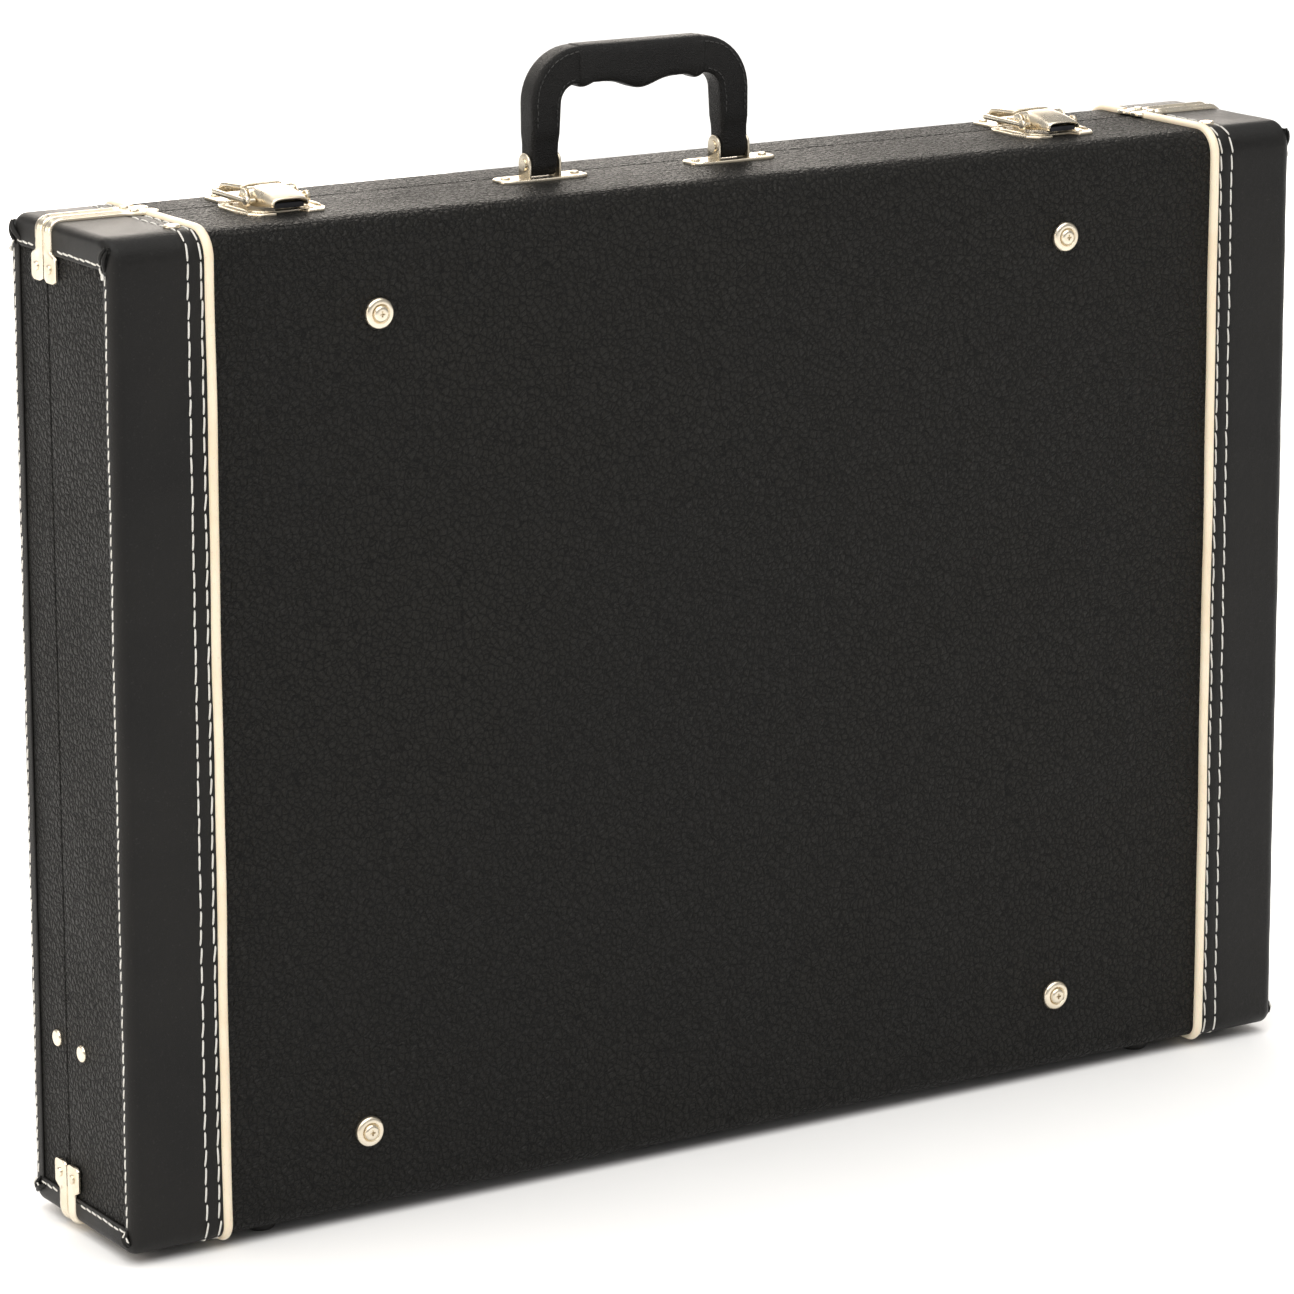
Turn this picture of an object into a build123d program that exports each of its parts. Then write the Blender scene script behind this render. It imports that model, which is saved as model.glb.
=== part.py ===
"""Pedalboard in its own hard case, standing on its hinge side with the handle up. Millimetres.

X runs along the case, -Y is the tray's floor (the face with the four deck screws), +Y is the
lid's outer face, +Z is up. The origin is under the middle of the case, on the surface it stands on.
"""
import os
from math import sqrt

from build123d import *

# ---- driving dimensions -------------------------------------------------------------------
LENGTH = 680.0            # over the end caps
HEIGHT = 486.0            # hinge side to handle side, without feet
DEPTH = 107.0             # tray floor to lid face
TRAY_DEPTH = 68.0         # tray floor to the parting plane
PARTING_GAP = 0.6         # between the two halves when shut
FOOT_HEIGHT = 5.0
SCREW_PROUD = 3.0         # deck screws stand out of the tray floor by this
PIPING_PROUD = 2.0

TOP_EDGE_RADIUS = 13.0    # long edges on the handle side
BOTTOM_EDGE_RADIUS = 8.0  # long edges on the hinge side
UPRIGHT_EDGE_RADIUS = 6.0
CORNER_RADIUS = 4.5       # corners seen on the big faces

CAP_SKIN = 1.0            # smooth leatherette of the end caps
COVER_SKIN = 1.0          # grained vinyl
WOOD = 6.0
LINING = 1.5

CAP_EDGE_X = 290.0        # the piping's centre line, where each cap ends
PIPING_RADIUS = 2.5
BORDER_FRONT = 8.5        # cap border on the end faces, at the tray's floor
BORDER_BACK = 11.0        # the same at the lid's face
BORDER_TOP = 15.0
BORDER_BOTTOM = 12.5

HANDLE_X = -25.5          # middle of the handle
HANDLE_POSTS = 109.0      # between the middles of the two posts
HANDLE_RISE = 64.0        # top of the grip over the case
HANDLE_SETBACK = 13.0     # from the parting plane to the handle's pivot
HANDLE_PIVOT_RISE = 7.6
POST_WIDTH = 16.0
BEAM_HEIGHT = 18.0
GRIP_DEPTH = 14.0
GRIP_CORNER = 26.0        # outer bend of the grip
GRIP_FOOT = 6.2           # radius of the grip's foot about its pin
SWELL_RADIUS = 30.0       # finger swell under the beam
SWELL_DROP = 4.0
SWELL_HALF = 24.0
CORE_DEPTH = 8.0
CORE_STRIP = 2.0
CORE_CORNER = 20.0
CORE_EYE = 4.2
CORE_EYE_WIDTH = 10.0
HANDLE_PLATE = 1.4
HANDLE_PLATE_LENGTH = 49.0
HANDLE_PLATE_WIDTH = 17.0
HANDLE_PLATE_CORNER = 6.0
HANDLE_RIVETS = 19.5      # either side of the plate's middle
HANDLE_EAR_GAP = 15.6
HANDLE_EAR = 1.4
HANDLE_EAR_HALF = 5.5
HANDLE_PIN = 2.0
HANDLE_PIN_HEAD = (3.0, 0.9)   # radius, height

CLAMP_PLATE = 1.4         # thickness of the corner clamps
CLAMP_WIDTH = 8.0         # strip round the corner
CLAMP_TOP_WIDTH = 10.0    # plate beside the piping
CLAMP_TOP_LENGTH = 17.0
CLAMP_TOP_REACH = 5.0     # past the piping's centre line
CLAMP_TOP_RIVET_X = 6.0   # from the cap's edge outwards
CLAMP_END_WIDTH = 12.6    # plate on the end face
CLAMP_END_LENGTH = 28.5
CLAMP_END_PLATE = 13.0
CLAMP_END_RIVET_Z = 22.0  # from the case's corner to the rivet on the end face
CLAMP_PLATE_CORNER = 2.6

SMALL_RIVET = (2.3, 1.0, 1.1, 5.0)   # head radius, head height, shank radius, shank length
CAP_RIVET = (4.0, 1.4, 1.3, 5.0)
CAP_RIVET_X = 9.0         # from the piping's centre line outwards
CAP_RIVET_Y = 6.0         # behind the rounded edge
STAY_RIVET_HEAD = (4.2, 1.5)         # radius, height
STAY_SHANK = 2.2
CLINCH = (3.8, 1.0)       # riveted-over end of a stay's rivet: radius, height
ELBOW_SHANK = 2.0

LATCH_X = {"left": -231.0, "right": 216.0}
LATCH_PLATE = 1.2
LATCH_RIVETS = ((-16.5, -7.0), (16.5, -7.0), (0.0, -29.0))   # x, y from the latch's own origin
CATCH_RIVETS = ((-9.0, 20.0), (9.0, 20.0))
LATCH_PIVOT = (-17.0, 6.5)           # y, z of the lever's pin from the latch's own origin
LATCH_LINK_PIVOT = (-24.0, 5.0)
LATCH_PIN = 1.45
LATCH_STUB = 1.3
LATCH_KNUCKLE = 4.45
LATCH_CURL = 3.2
LEVER_HALF = 12.3
LEVER_WALL = 1.0
LEVER_NOSE_Y = -38.5
EAR_INNER = 12.9
EAR_OUTER = 14.1
LINK_INNER = 14.8
LINK_OUTER = 17.0

HINGE_X = (-220.0, 0.0, 220.0)
HINGE_WIDTH = 60.0
HINGE_LEAF = 1.2
HINGE_BARREL = 2.2
HINGE_PIN = 1.0
HINGE_KNUCKLES = 5
KNUCKLE_GAP = 0.3
HINGE_RIVETS = (-22.0, 0.0, 22.0)
HINGE_RIVET_Y = 11.0

STAY_ARM = 90.0           # both stay links, and both pivots from the hinge line
STAY_TRAY_SETBACK = 16.5  # tray pivot in front of the parting plane
STAY_LID_SETBACK = 9.5    # lid pivot behind it
STAY_STRIP = 12.0
STAY_PLATE = 1.5

DECK_SCREWS = ((-201.0, 439.0), (196.0, 439.0), (-212.0, 40.0), (196.0, 40.0))  # x, height
RISER_HEIGHT = 8.0
RISER_RADIUS = 18.0
DECK_THICKNESS = 6.0
DECK_COVER = 1.5
DECK_HALF_X = 312.0
DECK_CORNER = 10.0
DECK_LOW_MARGIN = 20.0    # from the case's hinge side
DECK_HIGH_MARGIN = 24.0   # from the case's handle side
CABLE_SLOT = (90.0, 26.0)
CABLE_SLOTS = (-110.0, 110.0)
FOAM = 8.0
FOAM_CORNER = 12.0

WASHER_RADIUS = 7.6
WASHER_HEIGHT = 2.6
WASHER_ROUND = 2.0
SEAT_RADIUS = 4.8         # mouth of the washer's countersink, whose sides slope at 45 degrees
SCREW_SHANK = 2.5
HEAD_RADIUS = 4.0
HEAD_RISE = 1.3           # screw head over its washer
HEAD_ROUND = 1.8
RECESS = (2.8, 0.9, 3.0)  # arms of the cross in the head: length, width, twice its depth
TEE_FLANGE = (8.0, 1.2)   # radius, height
TEE_BARREL = (3.4, 4.0)

FOOT_X = 262.0
FOOT_RADIUS = 7.5
FOOT_ROUND = 3.0
TRAY_FOOT_Y = 20.0        # in from the tray's floor
LID_FOOT_Y = 16.0         # in from the lid's face

RIM_STRIP_THICKNESS = 3.0
RIM_END_THICKNESS = 2.4
RIM_STRIP_DOWN = 22.0     # into the tray
RIM_STRIP_UP = 7.0        # into the lid
RIM_PACKING = 0.6         # glued between the strip and the lining
RIM_END_LOW_Z = 270.0

RUNNING = 0.05            # radial clearance of a pin in its hole

# ---- worked out from them -----------------------------------------------------------------
FRONT_Y = SCREW_PROUD - (SCREW_PROUD + DEPTH + PIPING_PROUD) / 2
BACK_Y = FRONT_Y + DEPTH
PART_Y = FRONT_Y + TRAY_DEPTH
TRAY_RIM_Y = PART_Y - PARTING_GAP / 2
LID_RIM_Y = PART_Y + PARTING_GAP / 2
BOTTOM_Z = FOOT_HEIGHT
TOP_Z = FOOT_HEIGHT + HEIGHT
COVER_INSET = CAP_SKIN
WOOD_INSET = COVER_INSET + COVER_SKIN
LINING_INSET = WOOD_INSET + WOOD
INSIDE_INSET = LINING_INSET + LINING
TOP_FACE_Z = TOP_Z - COVER_INSET          # vinyl surface on the handle side
BOTTOM_FACE_Z = BOTTOM_Z + COVER_INSET    # vinyl surface on the hinge side
END_FACE_X = LENGTH / 2 - COVER_INSET     # vinyl surface of the end panels
HINGE_AXIS_Z = BOTTOM_FACE_Z - HINGE_BARREL
MIDDLE_Z = (BOTTOM_Z + TOP_Z) / 2
HANDLE_Y = PART_Y - HANDLE_SETBACK
HANDLE_PIVOT_Z = TOP_FACE_Z + HANDLE_PIVOT_RISE
STAY_TRAY_Y = PART_Y - STAY_TRAY_SETBACK
STAY_TRAY_Z = HINGE_AXIS_Z + sqrt(STAY_ARM**2 - STAY_TRAY_SETBACK**2)
STAY_LID_Y = PART_Y + STAY_LID_SETBACK
STAY_LID_Z = HINGE_AXIS_Z + sqrt(STAY_ARM**2 - STAY_LID_SETBACK**2)
STAY_ELBOW_Y = STAY_TRAY_Y + STAY_LID_SETBACK
STAY_ELBOW_Z = STAY_TRAY_Z + STAY_LID_Z - HINGE_AXIS_Z
STAY_ARM_X = LENGTH / 2 - INSIDE_INSET - 0.6 - STAY_PLATE   # inner face of the tray's link
STAY_LINK_X = STAY_ARM_X - 0.3 - STAY_PLATE                 # inner face of the lid's link
DECK_BACK_Y = FRONT_Y + INSIDE_INSET + RISER_HEIGHT
DECK_TOP_Y = DECK_BACK_Y + DECK_THICKNESS
DECK_LOW_Z = BOTTOM_Z + DECK_LOW_MARGIN
DECK_HIGH_Z = TOP_Z - DECK_HIGH_MARGIN
SEAT_DEPTH = SEAT_RADIUS - SCREW_SHANK
HEAD_SUNK = SEAT_RADIUS - HEAD_RADIUS
SIDES = {"left": -1, "right": 1}
FAR = 2000.0


def box(low, high):
    """Box between two corner points, given in any order."""
    size = [abs(b - a) for a, b in zip(low, high)]
    middle = [(a + b) / 2 for a, b in zip(low, high)]
    return Pos(*middle) * Box(*size)


def rod(start, direction, radius, length):
    """Cylinder from a point along a direction."""
    plane = Plane(origin=start, z_dir=direction)
    return plane * extrude(Circle(radius), length)


def turned_about_x(x, y, z):
    """Frame with local z along X, so a flat outline there lies in the YZ plane."""
    return Plane(origin=(x, y, z), x_dir=(0, 1, 0), z_dir=(1, 0, 0))


def half_block(inset, closed_y, open_y):
    """Solid block of one half of the case: rounded on its closed side, cut flat at its rim."""
    sign = 1 if closed_y > open_y else -1
    wall_y = closed_y - sign * inset
    half = LENGTH / 2 - inset
    low, high = BOTTOM_Z + inset, TOP_Z - inset
    middle_y = (wall_y + open_y) / 2
    deep = abs(wall_y - open_y)
    tall = high - low

    side = Plane.YZ * Pos(middle_y, (low + high) / 2) * Rectangle(deep, tall)
    walls = side.vertices().sort_by(Axis.Y)[-2:] if sign > 0 else side.vertices().sort_by(Axis.Y)[:2]
    bottom, top = walls.sort_by(Axis.Z)
    side = fillet(top, max(TOP_EDGE_RADIUS - inset, 1.5))
    near = side.vertices().sort_by_distance((0, wall_y, low))[0]
    side = fillet(near, max(BOTTOM_EDGE_RADIUS - inset, 1.5))
    across = extrude(side, half, both=True)

    plan = Pos(0, middle_y) * Rectangle(2 * half, deep)
    walls = plan.vertices().sort_by(Axis.Y)[-2:] if sign > 0 else plan.vertices().sort_by(Axis.Y)[:2]
    plan = fillet(walls, max(UPRIGHT_EDGE_RADIUS - inset, 1.5))
    upright = extrude(plan, FAR, both=True)

    face = Plane.XZ * Pos(0, (low + high) / 2) * RectangleRounded(
        2 * half, tall, max(CORNER_RADIUS - inset, 1.2))
    through = extrude(face, FAR, both=True)
    return across & upright & through


def tray_layer(outer, inner):
    """Layer of the tray between two insets."""
    return (half_block(outer, FRONT_Y, TRAY_RIM_Y)
            - half_block(inner, FRONT_Y, TRAY_RIM_Y + 1))


def lid_layer(outer, inner):
    """Layer of the lid between two insets."""
    return (half_block(outer, BACK_Y, LID_RIM_Y)
            - half_block(inner, BACK_Y, LID_RIM_Y - 1))


# ---- rivets: every head and its shank, and the hole that the shank needs -------------------
def rivet(at, inward, head_radius, head_height, shank_radius, shank_length):
    """Domed rivet seated at a point, its shank running inward."""
    out = tuple(-value for value in inward)
    head = rod(at, out, head_radius, head_height)
    rim = head.edges().filter_by(GeomType.CIRCLE).sort_by_distance(
        tuple(a + o * head_height for a, o in zip(at, out)))[0]
    head = fillet(rim, 0.8 * head_height)
    return head + rod(at, inward, shank_radius, shank_length)


def clamp_spots():
    """Name, side, end (+1 handle side, -1 hinge side) of the four corner clamps of one half."""
    for end_name, end in (("top", 1), ("bottom", -1)):
        for side_name, side in SIDES.items():
            yield f"{end_name}_{side_name}", side, end


def clamp_rivets(half_sign):
    """Two rivets for each corner clamp of one half: -1 is the tray, +1 the lid."""
    rim = PART_Y + half_sign * PARTING_GAP / 2
    made = []
    for _, side, end in clamp_spots():
        level = TOP_Z if end > 0 else BOTTOM_Z
        at = (side * (LENGTH / 2 + CLAMP_PLATE), rim + half_sign * CLAMP_END_WIDTH / 2,
              level - end * CLAMP_END_RIVET_Z)
        made.append(rivet(at, (-side, 0, 0), *SMALL_RIVET))
        at = (side * (CAP_EDGE_X + CLAMP_TOP_RIVET_X), rim + half_sign * CLAMP_TOP_WIDTH / 2,
              level + end * CLAMP_PLATE)
        made.append(rivet(at, (0, 0, -end), *SMALL_RIVET))
    return made


def hinge_rivets(half_sign):
    """Rivets of the hinge leaves of one half."""
    made = []
    for middle in HINGE_X:
        for step in HINGE_RIVETS:
            at = (middle + step, PART_Y + half_sign * HINGE_RIVET_Y, BOTTOM_FACE_Z - HINGE_LEAF)
            made.append(rivet(at, (0, 0, 1), *SMALL_RIVET))
    return made


def tray_rivets():
    """Rivets that hold the clamps, latch bases, handle plates and hinge leaves to the tray."""
    made = clamp_rivets(-1) + hinge_rivets(-1)
    for middle in LATCH_X.values():
        for x, y in LATCH_RIVETS:
            at = (middle + x, PART_Y + y, TOP_FACE_Z + LATCH_PLATE)
            made.append(rivet(at, (0, 0, -1), *SMALL_RIVET))
    for post in (-1, 1):
        for step in (-1, 1):
            at = (HANDLE_X + post * HANDLE_POSTS / 2 + step * HANDLE_RIVETS, HANDLE_Y,
                  TOP_FACE_Z + HANDLE_PLATE)
            made.append(rivet(at, (0, 0, -1), *SMALL_RIVET))
    return made


def lid_rivets():
    """Rivets that hold the clamps, catch plates and hinge leaves to the lid."""
    made = clamp_rivets(1) + hinge_rivets(1)
    for middle in LATCH_X.values():
        for x, y in CATCH_RIVETS:
            at = (middle + x, PART_Y + y, TOP_FACE_Z + LATCH_PLATE)
            made.append(rivet(at, (0, 0, -1), *SMALL_RIVET))
    return made


def cap_rivets():
    """One larger rivet on each cap's seam, just behind the tray's rounded top edge."""
    at_y = FRONT_Y + TOP_EDGE_RADIUS + CAP_RIVET_Y
    return [rivet((side * (CAP_EDGE_X + CAP_RIVET_X), at_y, TOP_Z), (0, 0, -1), *CAP_RIVET)
            for side in SIDES.values()]


def stay_rivet(side, y, z, plate_x, hole_clear):
    """Rivet of a stay: head outside, shank through the wall and the link, clinched inside."""
    head_radius, head_height = STAY_RIVET_HEAD
    reach = END_FACE_X - plate_x + hole_clear
    body = rivet((side * END_FACE_X, y, z), (-side, 0, 0), head_radius, head_height,
                 STAY_SHANK, reach)
    clinch = rod((side * (plate_x - hole_clear), y, z), (-side, 0, 0), *CLINCH)
    return body + clinch


def tray_stay_rivets():
    """The stays' pivots in the tray's end walls."""
    return [stay_rivet(side, STAY_TRAY_Y, STAY_TRAY_Z, STAY_ARM_X, 0.25)
            for side in SIDES.values()]


def lid_stay_rivets():
    """The stays' pivots in the lid's end walls."""
    return [stay_rivet(side, STAY_LID_Y, STAY_LID_Z, STAY_LINK_X, 0.3)
            for side in SIDES.values()]


# ---- deck screws, washers and nuts ---------------------------------------------------------
def screw_places():
    """x and z of the four deck screws."""
    for x, height in DECK_SCREWS:
        yield x, BOTTOM_Z + height


def cup_washers():
    """Turned cups, wide at the vinyl, with a countersunk seat for the screw's head."""
    made = []
    face_y = FRONT_Y + COVER_INSET
    for x, z in screw_places():
        plane = Plane(origin=(x, face_y, z), z_dir=(0, -1, 0))
        cup = extrude(Circle(WASHER_RADIUS), WASHER_HEIGHT)
        cup = fillet(cup.edges().sort_by(Axis.Z)[-1], WASHER_ROUND)
        seat = Pos(0, 0, WASHER_HEIGHT - SEAT_DEPTH / 2) * Cone(SCREW_SHANK, SEAT_RADIUS, SEAT_DEPTH)
        cup = cup - seat - extrude(Circle(SCREW_SHANK), WASHER_HEIGHT, both=True)
        made.append(plane * cup)
    return made


def deck_screws():
    """Oval-head screws from the tray's floor through the riser into the deck's nut."""
    made = []
    face_y = FRONT_Y + COVER_INSET
    length = DECK_TOP_Y - 1.0 - face_y
    for x, z in screw_places():
        plane = Plane(origin=(x, face_y, z), z_dir=(0, -1, 0))
        cone_depth = SEAT_DEPTH - HEAD_SUNK
        cone = Pos(0, 0, WASHER_HEIGHT - HEAD_SUNK - cone_depth / 2) * Cone(
            SCREW_SHANK, HEAD_RADIUS, cone_depth)
        dome = Pos(0, 0, WASHER_HEIGHT - HEAD_SUNK) * extrude(Circle(HEAD_RADIUS), HEAD_SUNK + HEAD_RISE)
        dome = fillet(dome.edges().sort_by(Axis.Z)[-1], HEAD_ROUND)
        arm = Box(*RECESS)
        cross = Pos(0, 0, WASHER_HEIGHT + HEAD_RISE) * (arm + Rot(0, 0, 90) * arm)
        shank = Pos(0, 0, WASHER_HEIGHT - SEAT_DEPTH) * Rot(180, 0, 0) * extrude(
            Circle(SCREW_SHANK), length + WASHER_HEIGHT - SEAT_DEPTH)
        made.append(plane * (cone + dome + shank - cross))
    return made


def screw_holes():
    """Clearance cylinders of the deck screws, from in front of the case to behind the deck."""
    made = []
    for x, z in screw_places():
        made.append(rod((x, FRONT_Y - 10, z), (0, 1, 0), SCREW_SHANK, 60))
    return made


def tee_nuts():
    """Flanged nuts let into the deck's upper face, threaded core taken as a plain bore."""
    made = []
    for x, z in screw_places():
        flange = rod((x, DECK_TOP_Y - TEE_FLANGE[1], z), (0, 1, 0), *TEE_FLANGE)
        barrel = rod((x, DECK_TOP_Y - 5.0, z), (0, 1, 0), *TEE_BARREL)
        made.append(flange + barrel - rod((x, DECK_TOP_Y - 6.0, z), (0, 1, 0), SCREW_SHANK, 5.0))
    return made


def deck_risers():
    """Round plywood blocks that lift the deck off the tray's floor and leave room for cables."""
    made = []
    floor_y = FRONT_Y + INSIDE_INSET
    for x, z in screw_places():
        block = rod((x, floor_y, z), (0, 1, 0), RISER_RADIUS, RISER_HEIGHT)
        made.append(block - rod((x, floor_y - 1, z), (0, 1, 0), SCREW_SHANK + 0.3, RISER_HEIGHT + 2))
    return made


def deck_board(low_y, high_y):
    """Slab of the deck's outline between two depths."""
    size_z = DECK_HIGH_Z - DECK_LOW_Z
    outline = Plane.XZ * Pos(0, (DECK_LOW_Z + DECK_HIGH_Z) / 2) * RectangleRounded(
        2 * DECK_HALF_X, size_z, DECK_CORNER)
    board = extrude(outline, high_y - low_y)          # the XZ plane's normal is -Y
    return Pos(0, high_y, 0) * board


def cable_slots():
    """Two rounded slots through the deck that let the patch leads down under it."""
    made = []
    for x in CABLE_SLOTS:
        slot = Plane.XZ * Pos(x, (DECK_LOW_Z + DECK_HIGH_Z) / 2) * SlotOverall(*CABLE_SLOT)
        made.append(extrude(slot, 100, both=True))
    return made


def pedal_deck():
    """Plywood board, let in for the nuts and bored for the screws and cables."""
    deck = deck_board(DECK_BACK_Y, DECK_TOP_Y)
    for nut in tee_nuts():
        deck -= nut
    for hole in screw_holes():
        deck -= hole
    for slot in cable_slots():
        deck -= slot
    return deck


def deck_cover():
    """Loop-pile sheet glued on the deck, cut out over the slots."""
    sheet = deck_board(DECK_TOP_Y, DECK_TOP_Y + DECK_COVER)
    for slot in cable_slots():
        sheet -= slot
    return sheet


# ---- the two shells, their skins and linings ------------------------------------------------
def drilled(solid, fasteners):
    """The solid with every fastener that reaches into it taken out of it."""
    around = solid.bounding_box()
    for fastener in fasteners:
        reach = fastener.bounding_box()
        apart = any(getattr(reach.min, axis) > getattr(around.max, axis)
                    or getattr(reach.max, axis) < getattr(around.min, axis)
                    for axis in "XYZ")
        if not apart:
            solid = solid - fastener
    return solid


def end_window(side, low_y, high_y):
    """Opening in a cap's end face, where the grained panel shows."""
    return box((side * (LENGTH / 2 - CAP_SKIN - 0.01), low_y, BOTTOM_Z + BORDER_BOTTOM),
               (side * (LENGTH / 2 + 5), high_y, TOP_Z - BORDER_TOP))


def end_cap(layer, side, low_y, high_y):
    """The layer outside the piping, with the window cut in its end face."""
    keep = box((side * CAP_EDGE_X, -FAR, -FAR), (side * FAR, FAR, FAR))
    return (layer & keep) - end_window(side, low_y, high_y)


def piping(side, half_sign):
    """Round cord laid on the vinyl along the cap's edge, cut off where the corner clamps begin."""
    x = side * CAP_EDGE_X
    inset = PIPING_RADIUS - PIPING_PROUD
    end_y = PART_Y + half_sign * (PARTING_GAP / 2 + CLAMP_TOP_WIDTH + 0.1)
    wall_y = (FRONT_Y + inset) if half_sign < 0 else (BACK_Y - inset)
    low, high = BOTTOM_Z + inset, TOP_Z - inset
    path = FilletPolyline((x, end_y, high), (x, wall_y, high), (x, wall_y, low), (x, end_y, low),
                          radius=(TOP_EDGE_RADIUS - inset, BOTTOM_EDGE_RADIUS - inset))
    start = Plane(origin=(x, end_y, high), x_dir=(1, 0, 0), z_dir=(0, half_sign, 0))
    return sweep(start * Circle(PIPING_RADIUS), path=path)


# ---- hardware --------------------------------------------------------------------------------
def corner_clamp(side, end, half_sign):
    """L-shaped strip over a corner of one half, widened into a riveted plate at both ends."""
    rim = PART_Y + half_sign * PARTING_GAP / 2
    level = TOP_Z if end > 0 else BOTTOM_Z
    outer_x, outer_z = LENGTH / 2 + CLAMP_PLATE, level + end * CLAMP_PLATE

    def strip(width, x_from, x_to, z_from, z_to):
        return box((side * x_from, rim, z_from), (side * x_to, rim + half_sign * width, z_to))

    inner_x = CAP_EDGE_X - CLAMP_TOP_REACH
    rounded = Plane.XZ * Pos(0, MIDDLE_Z) * (
        RectangleRounded(2 * outer_x, HEIGHT + 2 * CLAMP_PLATE, CORNER_RADIUS + CLAMP_PLATE)
        - RectangleRounded(LENGTH, HEIGHT, CORNER_RADIUS))
    ring = Pos(0, max(rim, rim + half_sign * CLAMP_WIDTH), 0) * extrude(rounded, CLAMP_WIDTH)
    corner = ring & box((side * CAP_EDGE_X, -FAR, level - end * CLAMP_END_LENGTH),
                        (side * FAR, FAR, level + end * FAR))

    end_plate = strip(CLAMP_END_WIDTH, LENGTH / 2, outer_x,
                      level - end * CLAMP_END_LENGTH, level - end * (CLAMP_END_LENGTH - CLAMP_END_PLATE))
    end_plate = fillet(end_plate.edges().filter_by(Axis.X), CLAMP_PLATE_CORNER)
    top_plate = strip(CLAMP_TOP_WIDTH, inner_x, inner_x + CLAMP_TOP_LENGTH, level, outer_z)
    top_plate = fillet(top_plate.edges().filter_by(Axis.Z), CLAMP_PLATE_CORNER)
    return corner + end_plate + top_plate


def latch_outline():
    """Shield-shaped base plate: shouldered sides, chamfered front corners, notched front edge."""
    right = [(19.0, -1.0), (22.0, -8.0), (22.5, -24.0), (20.0, -34.0), (14.5, -40.0),
             (8.5, -40.0), (6.0, -35.0)]
    left = [(-x, y) for x, y in reversed(right)]
    return make_face(Polyline(*right, *left, close=True))


def latch_origin(name):
    """The latch's own frame: on the vinyl, at the parting plane."""
    return Pos(LATCH_X[name], PART_Y, TOP_FACE_Z)


def latch_base(name):
    """Base plate with two raised side rails and the two ears of the lever's pin."""
    plate = extrude(latch_outline(), LATCH_PLATE)
    for sign in SIDES.values():
        rail = box((sign * 18.2, -33, LATCH_PLATE), (sign * 19.8, -11, LATCH_PLATE + 1.2))
        rail = fillet(rail.edges().filter_by(Axis.Y).sort_by(Axis.Z)[-2:], 0.6)
        ear = box((sign * EAR_INNER, LATCH_PIVOT[0] - 4.2, 0.4),
                  (sign * EAR_OUTER, LATCH_PIVOT[0] + 4.2, LATCH_PIVOT[1] + 3.6))
        ear = fillet(ear.edges().filter_by(Axis.X).sort_by(Axis.Z)[-2:], 3.4)
        plate = plate + rail + ear
    pin = turned_about_x(-20, *LATCH_PIVOT) * extrude(Circle(LATCH_PIN), 40)
    return latch_origin(name) * (plate - pin)


def latch_pins():
    """One pin through both ears and the lever of each latch."""
    made = []
    for name in SIDES:
        pin = turned_about_x(-14.4, *LATCH_PIVOT) * extrude(Circle(LATCH_PIN), 28.8)
        made.append(latch_origin(name) * pin)
    return made


def latch_lever(name):
    """Pressed cover, open underneath and at its nose, curled round the pin at its back."""
    pivot_y, pivot_z = LATCH_PIVOT
    nose = LEVER_NOSE_Y
    outline = make_face(Polyline((pivot_y, 2.1), (nose, 3.2), (nose, 7.2), (-26.0, 10.0),
                                 (pivot_y, 11.0), close=True))
    knuckle = Pos(pivot_y, pivot_z) * Circle(LATCH_KNUCKLE)
    solid = turned_about_x(-LEVER_HALF, 0, 0) * extrude(outline + knuckle, 2 * LEVER_HALF)
    inner = make_face(Polyline((pivot_y + 1.0, 1.0), (nose - 1, 1.0), (nose - 1, 5.8), (-26.0, 8.8),
                               (pivot_y + 1.0, 9.6), close=True))
    hollow = turned_about_x(-LEVER_HALF + LEVER_WALL, 0, 0) * extrude(
        inner, 2 * (LEVER_HALF - LEVER_WALL))
    curl = turned_about_x(-LEVER_HALF + LEVER_WALL, *LATCH_PIVOT) * extrude(
        Circle(LATCH_CURL), 2 * (LEVER_HALF - LEVER_WALL))
    pin = turned_about_x(-20, *LATCH_PIVOT) * extrude(Circle(LATCH_PIN + RUNNING), 40)
    stub = turned_about_x(-20, *LATCH_LINK_PIVOT) * extrude(Circle(LATCH_STUB + RUNNING), 40)
    return latch_origin(name) * (solid - hollow - curl - pin - stub)


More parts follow.
